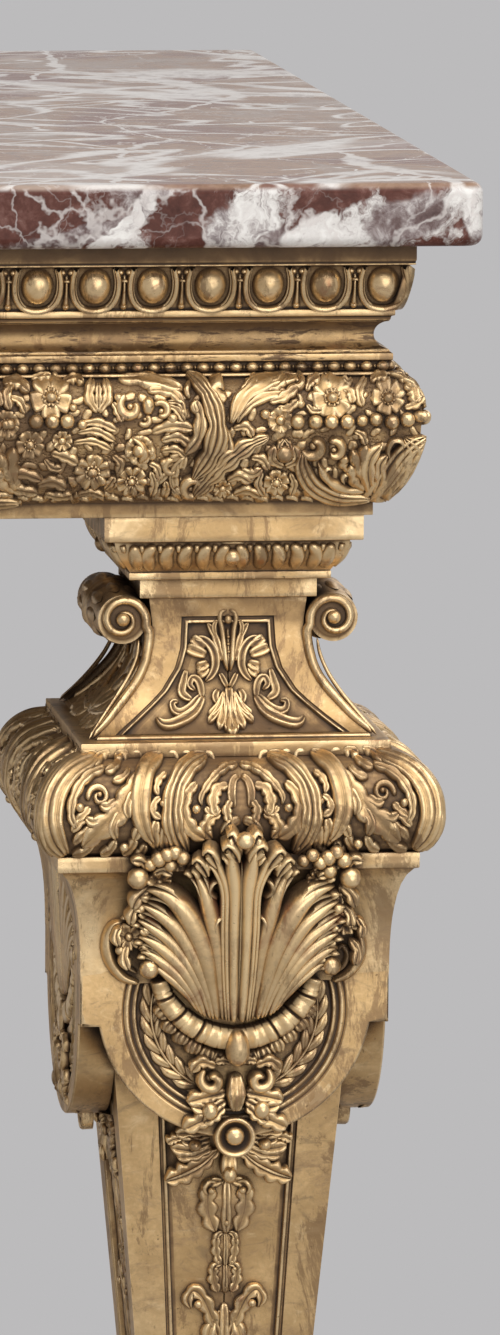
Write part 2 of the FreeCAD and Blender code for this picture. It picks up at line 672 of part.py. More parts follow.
def husk_drop(leg_shaft):
    """Chain of bell flowers down the front panel of the shaft."""
    top = Z_TONGUE_FOOT - HUSK_TOP_GAP
    foot = top - HUSK_COUNT * HUSK_PITCH
    stem = outline([
        (-shaft_half(foot) + PANEL_DEPTH, foot), (-shaft_half(foot) - HUSK_STEM_REACH, foot),
        (-shaft_half(top) - HUSK_STEM_REACH, top), (-shaft_half(top) + PANEL_DEPTH, top)],
        lambda y, z: Vector(-HUSK_STEM_WIDTH / 2, y, z))
    chain = [stem.extrude(Vector(HUSK_STEM_WIDTH, 0, 0))]
    for index in range(HUSK_COUNT):
        z = top - index * HUSK_PITCH
        ground = shaft_half(z - HUSK_PITCH / 2) - PANEL_DEPTH / 2
        chain.append(Part.makeCone(HUSK_TOP_RADIUS, HUSK_MOUTH_RADIUS, 0.86 * HUSK_PITCH,
                                   Vector(0, -ground, z), Vector(0, 0, -1)))
    body = chain[0].fuse(chain[1:])
    return single(body.cut(leg_shaft))


def ankle():
    mid = Z_ANKLE + 0.5 * ANKLE_HEIGHT
    neck = square_moulding([
        (PLINTH_HALF, Z_PLINTH), (PLINTH_HALF, Z_ANKLE),
        (ANKLE_TORUS_HALF - 3, Z_ANKLE),
        (ANKLE_TORUS_HALF - 3, mid, ANKLE_TORUS_HALF, (Z_ANKLE + mid) / 2),
        (ANKLE_WAIST_HALF, Z_SHAFT, ANKLE_WAIST_HALF + 0.5, Z_SHAFT - 0.2 * ANKLE_HEIGHT)])
    return neck.cut(lower_rod(JOINT_CLEARANCE))


def foot():
    collar = FOOT_HEIGHT - FOOT_COLLAR_HEIGHT
    neck = collar - FOOT_NECK_HEIGHT
    belly = 0.55 * neck
    body = turned([
        (0, 0), (FOOT_REST_RADIUS, 0), (FOOT_REST_RADIUS + FOOT_CHAMFER, FOOT_CHAMFER),
        (FOOT_BELLY_RADIUS, belly, FOOT_BELLY_RADIUS - 3.6, 0.5 * belly),
        (FOOT_NECK_RADIUS, neck, FOOT_BELLY_RADIUS - 6.5, 0.5 * (belly + neck)),
        (FOOT_NECK_RADIUS, collar), (FOOT_COLLAR_RADIUS, collar),
        (FOOT_COLLAR_RADIUS, FOOT_HEIGHT), (0, FOOT_HEIGHT)])
    return single(body.cut(lower_rod(JOINT_CLEARANCE)))


# ------------------------------------------------------------ stretcher
ARM_RUN = {"front": LEG_X - PLINTH_HALF, "back": BACK_LEG_X - PLINTH_HALF}


def arm_bend(run):
    """Radius of an arm that leaves its plinth square and aims at the hub."""
    return (run ** 2 + LEG_Y ** 2) / (2 * LEG_Y)


def arm_ends(shape, end):
    """A piece made in the +X +Y quarter, at the right and left of an end."""
    if end == "front":
        shape = shape.mirror(Vector(0, 0, 0), Vector(0, 1, 0))
    return both_ends(shape)


def plinth_pin(run, clearance):
    half = PIN_LENGTH / 2 + clearance
    return Part.makeCylinder(PIN_RADIUS + clearance, 2 * half,
                             Vector(run - half, LEG_Y, Z_ARM + ARM_HEIGHT / 2),
                             Vector(1, 0, 0))


def hub_pin(run, clearance):
    half = PIN_LENGTH / 2 + clearance
    bend = arm_bend(run)
    start = math.atan2(run, bend - LEG_Y)
    sweep = math.asin(HUB_RADIUS / (2 * bend))
    way = start - 2 * sweep
    along = Vector(math.cos(way), math.sin(way), 0)
    seat = Vector(HUB_RADIUS * math.cos(start - sweep),
                  HUB_RADIUS * math.sin(start - sweep), Z_ARM + ARM_HEIGHT / 2)
    return Part.makeCylinder(PIN_RADIUS + clearance, 2 * half,
                             seat - along * half, along)


def stretcher_pins(clearance):
    """Pins at both ends of every arm."""
    found = []
    for end, run in ARM_RUN.items():
        for pin in (plinth_pin(run, clearance), hub_pin(run, clearance)):
            found += arm_ends(pin, end)
    return found


def arm(run):
    """The +X +Y arm: square to its plinth, curving in to the hub."""
    bend = arm_bend(run)
    centre = Vector(run, LEG_Y - bend, Z_ARM)
    ring = Part.makeCylinder(bend + ARM_WIDTH / 2, ARM_HEIGHT, centre)
    ring = ring.cut(Part.makeCylinder(bend - ARM_WIDTH / 2, ARM_HEIGHT, centre))
    top = [e for e in ring.Edges if e.BoundBox.ZMin > Z_ARM + 0.9 * ARM_HEIGHT]
    ring = ring.makeChamfer(ARM_CHAMFER, top)
    bar = ring.common(box(0, run, 0, LEG_Y + ARM_WIDTH, Z_ARM, Z_ARM + ARM_HEIGHT))
    bar = bar.cut(rod(HUB_RADIUS, Z_HUB, Z_HUB + HUB_HEIGHT))
    for pin in (plinth_pin(run, JOINT_CLEARANCE), hub_pin(run, JOINT_CLEARANCE)):
        bar = bar.cut(pin)
    return single(bar)


def hub():
    body = rod(HUB_RADIUS, Z_HUB, Z_HUB + HUB_HEIGHT)
    top = Z_HUB + HUB_HEIGHT
    body = body.cut(rod(FINIAL_PEG_RADIUS + JOINT_CLEARANCE,
                        top - FINIAL_PEG_LENGTH - JOINT_CLEARANCE, top + 1))
    for hole in stretcher_pins(JOINT_CLEARANCE):
        body = body.cut(hole)
    return single(body)


def finial():
    z0 = Z_HUB + HUB_HEIGHT
    height = FINIAL_HEIGHT
    return turned([
        (0, z0 - FINIAL_PEG_LENGTH), (FINIAL_PEG_RADIUS, z0 - FINIAL_PEG_LENGTH),
        (FINIAL_PEG_RADIUS, z0), (FINIAL_FOOT_RADIUS, z0),
        (FINIAL_FOOT_RADIUS, z0 + 0.07 * height),
        (FINIAL_NECK_RADIUS, z0 + 0.24 * height,
         FINIAL_NECK_RADIUS + 3, z0 + 0.13 * height),
        (FINIAL_RADIUS, z0 + 0.56 * height, FINIAL_RADIUS - 5, z0 + 0.36 * height),
        (FINIAL_NECK_RADIUS + 2, z0 + 0.76 * height,
         FINIAL_RADIUS - 7, z0 + 0.68 * height),
        (FINIAL_TIP_RADIUS, z0 + height, FINIAL_NECK_RADIUS - 1, z0 + 0.92 * height),
        (0, z0 + height)])


# ------------------------------------------------------------- assembly
def build():
    os.makedirs("parts", exist_ok=True)
    export("marble_top", [marble_top()])
    courses = {"frieze": frieze_course(), "cove": cove_course(),
               "cornice": cornice_course(), "rail": rails()}
    for name, sides in courses.items():
        for side, solid in sides.items():
            export("%s_%s" % (name, side), [solid])
    right_bearer = bearer()
    export("bearer_right", [right_bearer])
    export("bearer_left", [spin(right_bearer, 180)])
    export("corner_blocks", corner_blocks())
    export("leg_blocks", leg_blocks())
    export("screws", corner_screws(0) + leg_block_screws(0))

    leg_shaft = shaft()
    leg_cushion = cushion()
    leg_ankle = ankle()
    lappets = four_faces(lappet(leg_shaft))
    shell = palmette(leg_shaft, leg_cushion)
    shells = [shell, spin(shell, 180)]
    drops = four_faces(husk_drop(leg_shaft))
    rods = [upper_rod(0), lower_rod(0)]
    whole = {"abacus": abacus(), "capital": capital(), "cushion": leg_cushion,
             "shaft": leg_shaft, "foot": foot()}
    holes = stretcher_pins(JOINT_CLEARANCE)
    for leg in LEGS:
        for name, solid in whole.items():
            export("%s_%s" % (name, leg), [at_leg(solid, leg)])
        export("lappets_%s" % leg, [at_leg(board, leg) for board in lappets])
        export("ankle_%s" % leg, [single(at_leg(leg_ankle, leg).cut(holes))])
    export("palmettes", [at_leg(s, leg) for leg in LEGS for s in shells])
    export("husk_drops", [at_leg(s, leg) for leg in LEGS for s in drops])
    export("leg_rods", [at_leg(s, leg) for leg in LEGS for s in rods])

    for end, run in ARM_RUN.items():
        for side, solid in zip(("right", "left"), arm_ends(arm(run), end)):
            export("arm_%s_%s" % (end, side), [solid])
    export("stretcher_pins", stretcher_pins(0))
    export("hub", [hub()])
    export("finial", [finial()])


build()
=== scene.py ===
"""Carved giltwood pier table with a breccia marble slab, dressed over its CAD frame.

Carving is built from small grid patches, in millimetres, laid on the moulding
surfaces: blades (leaves, petals, scrolls), balls (eggs, beads, berries) and
sweeps (the mouldings themselves).  Leg pieces are made about one leg's axis,
the front face towards -Y, and set at the four legs.  Points of the carving
that the photograph shows are marks: (u, v) pixels in its 500 x 1335 frame,
carried along their line of sight to the course that they lie on.
"""
import math
import bpy
import numpy as np
from mathutils import Matrix, Vector

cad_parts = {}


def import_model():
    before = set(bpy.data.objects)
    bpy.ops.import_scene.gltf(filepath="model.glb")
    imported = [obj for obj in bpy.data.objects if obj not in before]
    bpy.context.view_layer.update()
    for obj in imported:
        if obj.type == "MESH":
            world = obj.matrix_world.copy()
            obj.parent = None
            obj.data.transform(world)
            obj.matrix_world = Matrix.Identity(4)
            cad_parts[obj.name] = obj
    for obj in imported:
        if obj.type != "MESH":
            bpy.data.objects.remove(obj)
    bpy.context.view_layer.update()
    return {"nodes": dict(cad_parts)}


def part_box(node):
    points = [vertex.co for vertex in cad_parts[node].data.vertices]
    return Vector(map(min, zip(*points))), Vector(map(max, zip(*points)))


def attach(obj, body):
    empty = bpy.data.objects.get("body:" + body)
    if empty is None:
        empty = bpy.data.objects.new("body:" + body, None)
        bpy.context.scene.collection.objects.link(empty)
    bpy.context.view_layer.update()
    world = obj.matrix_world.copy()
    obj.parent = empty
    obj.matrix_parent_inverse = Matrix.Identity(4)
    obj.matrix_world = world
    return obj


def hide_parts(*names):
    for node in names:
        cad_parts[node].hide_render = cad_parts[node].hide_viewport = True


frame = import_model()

MM = 0.001
TAU = 2 * math.pi


def corners(node):
    """Lowest and highest corner of a node of the frame, in millimetres."""
    return [[round(v / MM, 1) for v in corner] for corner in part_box(node)]


def axis(node):
    """X and Y of the middle of a node."""
    low, high = corners(node)
    return tuple(round((a + b) / 2, 1) for a, b in zip(low[:2], high[:2]))


def z_range(node):
    """Z of a node's foot and top."""
    low, high = corners(node)
    return low[2], high[2]


# leg axes and the heights of the courses' seams, from the frame
LEGS = {leg: axis("shaft_" + leg) for leg in ("front_left", "front_right", "back_left", "back_right")}
LEG_X, LEG_Y = (abs(v) for v in LEGS["front_right"])
Z_COVE, Z_SLAB = z_range("cornice_front")
Z_FRAME, Z_FRIEZE = z_range("frieze_front")
Z_BLOCK_TOP = z_range("abacus_front_right")[0]
Z_CAP, Z_CUSHION = z_range("cushion_front_right")
Z_SHAFT = z_range("shaft_front_right")[0]
Z_FOOT = z_range("foot_front_right")[1]
BOARD_TOP = z_range("lappets_front_right")[1]
Z_BLOCK_FOOT, Z_PLINTH = 611.4, 137.9
SHAFT_HALF, SHAFT_SPREAD, SHAFT_RUN = 27.5, 27.9, 312.2   # half width at the foot and its growth
INNER = 30                       # reach at which the hidden back of a moulding ends

# the photograph's camera: frame and lens in pixels, place in metres, turn in degrees
PHOTO_WIDE, PHOTO_HIGH = 500, 1335
FOCAL = 9309.33
EYE = (0.02687, -4.50753, 1.26159)
YAW, PITCH, ROLL = 7.825, 8.339, 0.370


def sight_frame():
    """The camera's right, up and forward directions."""
    yaw, pitch, roll = (math.radians(a) for a in (YAW, PITCH, ROLL))
    forward = np.array([math.sin(yaw) * math.cos(pitch), math.cos(yaw) * math.cos(pitch),
                        -math.sin(pitch)])
    level = np.array([math.cos(yaw), -math.sin(yaw), 0])
    above = np.cross(level, forward)
    right = level * math.cos(roll) + above * math.sin(roll)
    up = -level * math.sin(roll) + above * math.cos(roll)
    return right, up, forward


# ------------------------------------------------------------------ paths
SPAN_STEPS = 14                  # fine steps between two given points of a smooth path


def unit(v):
    """The rows of v at length 1."""
    return v / (np.linalg.norm(v, axis=-1, keepdims=True) + 1e-9)


def arc3(a, mid, b, n=12):
    """Points of the circle from a through mid to b."""
    a, mid, b = (np.array(p, float) for p in (a, mid, b))
    m = np.array([mid - a, b - a]) * 2
    rhs = np.array([mid @ mid - a @ a, b @ b - a @ a])
    c = np.linalg.solve(m, rhs)
    r = np.linalg.norm(a - c)
    t0, tm, t1 = (math.atan2(*(p - c)[::-1]) for p in (a, mid, b))
    swing = (t1 - t0) % TAU
    if (tm - t0) % TAU > swing:
        swing -= TAU
    t = t0 + swing * np.linspace(0, 1, n)
    return [tuple(p) for p in np.stack([c[0] + r * np.cos(t), c[1] + r * np.sin(t)], 1)]


def smooth_path(points, n):
    """n even points on the Catmull-Rom line through the given points."""
    p = np.asarray(points, float)
    if len(p) > 2:
        q = np.vstack([2 * p[0] - p[1], p, 2 * p[-1] - p[-2]])
        t = np.linspace(0, 1, SPAN_STEPS, endpoint=False)[:, None]
        rows = []
        for a, b, c, d in zip(q, q[1:], q[2:], q[3:]):
            rows.append(0.5 * (2 * b + (c - a) * t + (2 * a - 5 * b + 4 * c - d) * t * t
                               + (3 * b - a - 3 * c + d) * t ** 3))
        p = np.vstack(rows + [p[-1:]])
    step = np.r_[0, np.cumsum(np.linalg.norm(np.diff(p, axis=0), axis=1))]
    s = np.linspace(0, step[-1], n)
    return np.stack([np.interp(s, step, p[:, k]) for k in range(p.shape[1])], 1)


def strip_lines(points, n):
    """A smooth path with its direction and the direction across it."""
    path = smooth_path(points, n)
    tangent = unit(np.gradient(path, axis=0))
    return path, tangent, np.stack([-tangent[:, 1], tangent[:, 0]], 1)


def spiral(cx, cz, r0, r1, a0, a1, n=30):
    """Scroll from radius r0 at angle a0 to r1 at a1, angles in degrees."""
    t = np.linspace(0, 1, n)
    r = r0 + (r1 - r0) * t ** 0.8
    a = np.radians(a0 + (a1 - a0) * t)
    return [(cx + ri * math.cos(ai), cz + ri * math.sin(ai)) for ri, ai in zip(r, a)]


def along(values, t):
    """Smooth interpolation of a short list of values over 0..1."""
    values = np.asarray(values, float)
    even = np.linspace(0, 1, len(values))
    if len(values) < 3:
        return np.interp(t, even, values)
    dense = smooth_path(np.stack([even, values], 1), 60)
    return np.interp(t, dense[:, 0], dense[:, 1])


# --------------------------------------------------------------- surfaces
class Square:
    """Moulding round a square: profile of (reach, z), top to bottom."""

    def __init__(self, profile, corner=2.5, flat=False, one_corner=False):
        p = np.array(profile, float)
        self.z, self.r = p[::-1, 1], p[::-1, 0]
        self.zs = np.linspace(self.z[0], self.z[-1], 120)
        self.slope = np.gradient(np.interp(self.zs, self.z, self.r), self.zs)
        self.corner, self.flat, self.one_corner = corner, flat, one_corner

    def reach(self, z):
        return np.interp(z, self.z, self.r)

    def __call__(self, x, z):
        r = self.reach(z)
        slope = np.interp(z, self.zs, self.slope)
        out = 1 / np.sqrt(1 + slope ** 2)
        up = -slope * out
        if self.flat:
            zero = np.zeros_like(x)
            return np.stack([x, -r, z], -1), np.stack([zero, -out, up], -1)
        side = np.sign(x)
        past = (x if self.one_corner else np.abs(x)) - r
        turn = np.clip(0.5 + past / (2 * self.corner), 0, 1) * math.pi / 2
        point = np.stack([np.where(past > 0, side * r, x), -r + np.maximum(past, 0), z], -1)
        normal = np.stack([side * np.sin(turn) * out, -np.cos(turn) * out, up], -1)
        return point, normal


class Relief:
    """Face given by how far it stands out from the leg's axis at (x, z)."""

    def __init__(self, reach):
        self.reach = reach

    def __call__(self, x, z):
        e = 0.05
        r = self.reach(x, z)
        n = np.stack([-(self.reach(x + e, z) - r) / e, -np.ones_like(r),
                      -(self.reach(x, z + e) - r) / e], -1)
        return np.stack([x, -r, z], -1), n / np.linalg.norm(n, axis=-1, keepdims=True)


class Plane:
    """Flat or leaning face: the point at (x, z) lies at y."""

    def __init__(self, y, lean=0.0, z0=0.0):
        self.y, self.lean, self.z0 = y, lean, z0

    def __call__(self, x, z):
        y = self.y + self.lean * (z - self.z0)
        n = np.array([0.0, -1.0, -self.lean])
        n = np.broadcast_to(n / np.linalg.norm(n), x.shape + (3,))
        return np.stack([x, y + 0 * x, z + 0 * x], -1), n


def taper(z, half=SHAFT_HALF):
    """Half width of the shaft at height z, from its half width at the foot."""
    return half + (z - Z_SHAFT) / SHAFT_RUN * SHAFT_SPREAD


def shaft_face(sunk=0.0):
    """The leaning front of the shaft, or the ground sunk behind it."""
    return Plane(-SHAFT_HALF + sunk, -SHAFT_SPREAD / SHAFT_RUN, Z_SHAFT)


# ----------------------------------------------------------------- patches
# A patch is (points[n, m, 3], cavity[n, m]); cavity runs 0 deep to 1 proud; low values paint dirt and
# shade, values above 1 a painted sheen.
FRONT = (0.0, -1.0, 0.0)


def turn_z(patches, degrees):
    a = math.radians(degrees)
    c, s = math.cos(a), math.sin(a)
    m = np.array([[c, s, 0], [-s, c, 0], [0, 0, 1]])
    return [(p @ m, k) for p, k in patches]


def move(patches, x=0.0, y=0.0, z=0.0):
    return [(p + np.array([x, y, z]), k) for p, k in patches]


def repeat(patches, xs):
    return [q for x in xs for q in move(patches, x)]


def flip_x(patches):
    m = np.array([-1.0, 1, 1])
    return [((p * m)[::-1], k[::-1]) for p, k in patches]


def both(patches):
    return patches + flip_x(patches)


def four(patches):
    return [q for a in (0, 90, 180, 270) for q in turn_z(patches, a)]


def tone(patches, gain, base=0.0):
    """The same patches, more or less proud, so lighter or darker in painted shade and sheen."""
    return [(p, base + gain * k) for p, k in patches]


def tone_by_height(patches, heights, gains):
    return [(p, k * np.interp(p[..., 2], heights, gains)) for p, k in patches]


def looks_back(p, out):
    """Whether the faces of a patch look against out."""
    a = p[1:, :-1] - p[:-1, :-1]
    b = p[:-1, 1:] - p[:-1, :-1]
    return (np.cross(b, a) * np.broadcast_to(out, p.shape)[:-1, :-1]).sum() < 0


def facing(p, k, out=FRONT):
    """One patch, ordered so that its faces look along out."""
    k = k + 0 * p[..., 0]
    return [(p[::-1], k[::-1]) if looks_back(p, out) else (p, k)]


def face_patch(surf, xs, zs, cav):
    """Plain piece of a surface: xs and zs are same-shape arrays."""
    return facing(surf(xs, zs)[0], cav)


LONGEST, WIDEST = 0.85, 0.56     # mesh steps along and across a leaf
ROOT, TIP = 0.12, 0.18           # shares of a leaf that its round ends take


def rounded_end(t, share):
    """Half width of a round end: t runs from 0 at the body to the share at the tip."""
    return np.sqrt(np.clip(1 - (np.clip(t, 0, 1) / share) ** 2, 0, 1)) + 0.02


def blade(surf, points, half, height, n=16, m=9, ribs=0, lift=(0.45, 1.0, 0.75),
          sink=0.8, cup=0.0, tip="round", root="round", rib_depth=0.3, lobes=0, notch=0.3):
    """A leaf, petal or scroll: a swollen strip laid along a line, its edge cut in lobes."""
    run = np.linalg.norm(np.diff(np.asarray(points, float), axis=0), axis=1).sum()
    n = min(n, max(8, 7 * lobes + 1, int(run / LONGEST)))
    m = min(m, max(9 if cup else 5, 4 * ribs + 1, 2 * int(max(half) / WIDEST) + 1))
    path, _, across = strip_lines(points, n)
    t = np.linspace(0, 1, n)
    wave = np.abs(np.sin(math.pi * lobes * t + 0.4)) if lobes else np.ones(n)
    w = along(half, t) * (1 - notch + notch * wave)
    ends = np.ones(n)
    if tip == "round":
        ends *= rounded_end(t - (1 - TIP), TIP)
    elif tip == "point":
        ends *= np.clip((1 - t) / 0.35, 0.02, 1)
    if root == "round":
        ends *= rounded_end(ROOT - t, ROOT)
    h = height * along(lift, t) * np.clip(ends * 1.6, 0, 1)
    s = np.concatenate([[-1], np.linspace(-0.93, 0.93, m - 2), [1]])
    shape = np.sqrt(np.clip(1 - s ** 2, 0, 1))
    rib = np.ones(m)
    if ribs or cup:
        rib = np.abs(np.sin(math.pi * ribs * (s + 1) / 2)) ** 0.7 if ribs else rib
        shape = (1 - s ** 6) ** 0.5 * (1 - rib_depth + rib_depth * rib)
        shape *= 1 - cup + cup * s ** 2
    shape[[0, -1]] = 0
    rise = h[:, None] * shape * (1 - 0.5 * notch * (1 - wave)[:, None] * abs(s))
    edge = np.zeros((n, m))
    edge[:, [0, -1]] = edge[[0, -1], :] = 1
    flat = path[:, None, :] + across[:, None, :] * (w * ends)[:, None, None] * s[None, :, None]
    point, normal = surf(flat[..., 0], flat[..., 1])
    point = point + normal * (rise - sink * edge)[..., None]
    peak = max(float(rise.max()), 1e-6)
    cav = np.clip(0.12 + 0.58 * rise / peak + 0.3 * rib[None, :], 0, 1) * (1 - 0.8 * edge)
    return facing(point, cav, normal)


def ball(centre, axes, n=9, m=14, point_y=0.0):
    """Egg or bead: axes are three scaled directions, the last one outwards."""
    centre, ax = np.asarray(centre, float), np.asarray(axes, float)
    polar = np.linspace(0, math.pi, n)[:, None]
    turn = np.linspace(0, TAU, m)
    pz = np.cos(polar) * np.ones(m)
    px, py = np.sin(polar) * np.cos(turn), np.sin(polar) * np.sin(turn)
    px = px * (1 + point_y * py)
    out = px[..., None] * ax[0] + py[..., None] * ax[1] + pz[..., None] * ax[2]
    return facing(centre + out, np.clip(0.25 + 0.75 * pz, 0, 1), out)


def round_ball(x, y, z, r, deep, n, m, tall=None, **shape):
    """A ball on a face: r across, tall in height, deep towards the front."""
    return ball((x, y, z), [(r, 0, 0), (0, 0, tall or r), (0, -deep, 0)], n, m, **shape)


def berry(surf, x, z, r, rise=0.55, n=8, m=12, tall=1.0):
    """A ball sitting in a surface."""
    p, nm = surf(np.array([x * 1.0]), np.array([z * 1.0]))
    q, _ = surf(np.array([x + 0.5]), np.array([z * 1.0]))
    nm, u = nm[0], (q - p)[0]
    u /= np.linalg.norm(u)
    v = np.cross(u, nm)
    return ball(p[0] + nm * r * (rise - 0.5), [u * r, v * r * tall, nm * r], n, m)


def sweep(profile, half_x, half_y, steps, cav, waves=0.0):
    """Moulding along the front, mitred: (reach, z) profile past two half sizes."""
    p = np.array(profile, float)
    s = np.linspace(-1, 1, steps + 1)
    r, z = p[:, 0][:, None], p[:, 1][:, None]
    x = (half_x + r) * s[None, :]
    y = -(half_y + r) + 0 * x
    if waves:
        y = y - waves * np.sin(x * 0.031 + z * 0.1) * np.sin(x * 0.0113 + 2) * (1 - s ** 8)
    point = np.stack([x, y, z + 0 * x], -1)
    if looks_back(point, FRONT):
        point = point[:, ::-1]
    return [(point, (cav + 0 * p[:, 0])[:, None] + 0 * x)]


def rings(loops, cav):
    """Patch between nested closed outlines, from the outermost inwards."""
    even, level = [loops[0]], [cav[0]]
    for a, b, ka, kb in zip(loops, loops[1:], cav, cav[1:]):
        gap = np.linalg.norm(b - a, axis=1).mean()
        if gap > 1.2:
            for t in (0.4 / gap, 1 - 0.4 / gap):
                even.append(a + (b - a) * t)
                level.append(0.5 * (ka + kb))
        even.append(b)
        level.append(kb)
    p = np.stack(even)
    return facing(np.concatenate([p, p[:, :1]], 1), np.asarray(level, float)[:, None])


def rounded(profile, radius):
    """Ease the corners of a profile."""
    p = [np.array(q, float) for q in profile]
    out = [p[0]]
    for a, b, c in zip(p, p[1:], p[2:]):
        la, lc = np.linalg.norm(a - b), np.linalg.norm(c - b)
        turn = abs(np.cross((b - a) / (la + 1e-9), (c - b) / (lc + 1e-9)))
        if turn < 0.25 or la < 1e-6 or lc < 1e-6:
            out.append(b)
            continue
        ra, rc = min(radius, 0.45 * la), min(radius, 0.45 * lc)
        s, e = b + (a - b) / la * ra, b + (c - b) / lc * rc
        for t in (0, 0.5, 1):
            out.append((1 - t) ** 2 * s + 2 * t * (1 - t) * b + t * t * e)
    return out + [p[-1]]


def moulding(profile, radius, longest=2.2):
    """Eased profile with extra points, and how proud each point stands."""
    p = np.array(rounded(profile, radius))
    rows = [p[0]]
    for a, b in zip(p, p[1:]):
        parts = max(1, int(math.ceil(np.linalg.norm(b - a) / longest)))
        rows += [a + (b - a) * t for t in np.linspace(0, 1, parts + 1)[1:]]
    p = np.array(rows)
    d = unit(np.diff(p, axis=0))
    turn = np.zeros(len(p))
    turn[1:-1] = -(d[:-1, 0] * d[1:, 1] - d[:-1, 1] * d[1:, 0])
    return p, np.clip(0.55 + 0.9 * turn, 0.05, 1)


def edge_run(profile, half_x, half_y, radius, steps, waves=0.0):
    p, k = moulding(profile, radius)
    return sweep(p, half_x, half_y, steps, k, waves)


# ------------------------------------------------------------ mesh objects
def shelf_pack(sizes):
    """Place rectangles on shelves in the unit square."""
    row = math.sqrt(sum(w * h for w, h in sizes) or 1.0) * 1.12
    order = sorted(range(len(sizes)), key=lambda i: -sizes[i][1])
    spots, x, y, high = {}, 0.0, 0.0, 0.0
    gap = row * 0.0008
    for i in order:
        w, h = sizes[i]
        if x + w > row and x > 0:
            x, y, high = 0.0, y + high + gap, 0.0
        spots[i] = (x, y)
        x += w + gap
        high = max(high, h)
        row = max(row, x)
    total = max(row, y + high)
    return [(spots[i][0] / total, spots[i][1] / total) for i in range(len(sizes))], total


def patch_mesh(name, patches):
    """Mesh of all patches, each with its own place in the map and its cavity as relief."""
    co, quads, uv, cavs, base = [], [], [], [], 0
    sizes = []
    for p, _ in patches:
        h = np.linalg.norm(np.diff(p, axis=0), axis=2).sum(0).max()
        w = np.linalg.norm(np.diff(p, axis=1), axis=2).sum(1).max()
        sizes.append((w + 0.05, h + 0.05))
    turned = [(max(s), min(s)) for s in sizes]
    spots, total = shelf_pack(turned)
    for (p, k), size, t, spot in zip(patches, sizes, turned, spots):
        n, m = k.shape
        i = np.arange(n * m).reshape(n, m) + base
        q = np.stack([i[:-1, :-1], i[:-1, 1:], i[1:, 1:], i[1:, :-1]], -1).reshape(-1, 4)
        u, v = np.meshgrid(np.linspace(0, 1, m), np.linspace(0, 1, n))
        if size[0] < size[1]:
            u, v = v, u
        flat = np.stack([spot[0] + u * t[0] / total, spot[1] + v * t[1] / total], -1)
        co.append(p.reshape(-1, 3))
        cavs.append(k.reshape(-1))
        quads.append(q)
        uv.append(flat.reshape(-1, 2))
        base += n * m
    co, quads = np.concatenate(co) * MM, np.concatenate(quads)
    uv, cavs = np.concatenate(uv), np.concatenate(cavs)
    mesh = bpy.data.meshes.new(name)
    mesh.vertices.add(len(co))
    mesh.vertices.foreach_set("co", co.astype(np.float32).ravel())
    mesh.loops.add(quads.size)
    mesh.loops.foreach_set("vertex_index", quads.ravel().astype(np.int32))
    mesh.polygons.add(len(quads))
    mesh.polygons.foreach_set("loop_start", np.arange(0, quads.size, 4, dtype=np.int32))
    mesh.update(calc_edges=True)
    layer = mesh.uv_layers.new(name="OFBake")
    layer.data.foreach_set("uv", uv[quads.ravel()].astype(np.float32).ravel())
    field = mesh.attributes.new("relief", "FLOAT", "POINT")
    field.data.foreach_set("value", cavs.astype(np.float32))
    mesh.validate()
    mesh.shade_smooth()
    return mesh


def put_piece(name, mesh, nodes, at=(0.0, 0.0)):
    """One visible gilded piece, riding on the table's only body."""
    piece = bpy.data.objects.new(name, mesh)
    bpy.context.scene.collection.objects.link(piece)
    piece.location = (at[0] * MM, at[1] * MM, 0)
    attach(piece, "root")
    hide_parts(*nodes)


def solid(name, patches, material, node):
    """A piece made of patches in the frame's own place, shown for one CAD node."""
    mesh = patch_mesh(name, patches)
    mesh.materials.append(material)
    put_piece(name, mesh, [node])


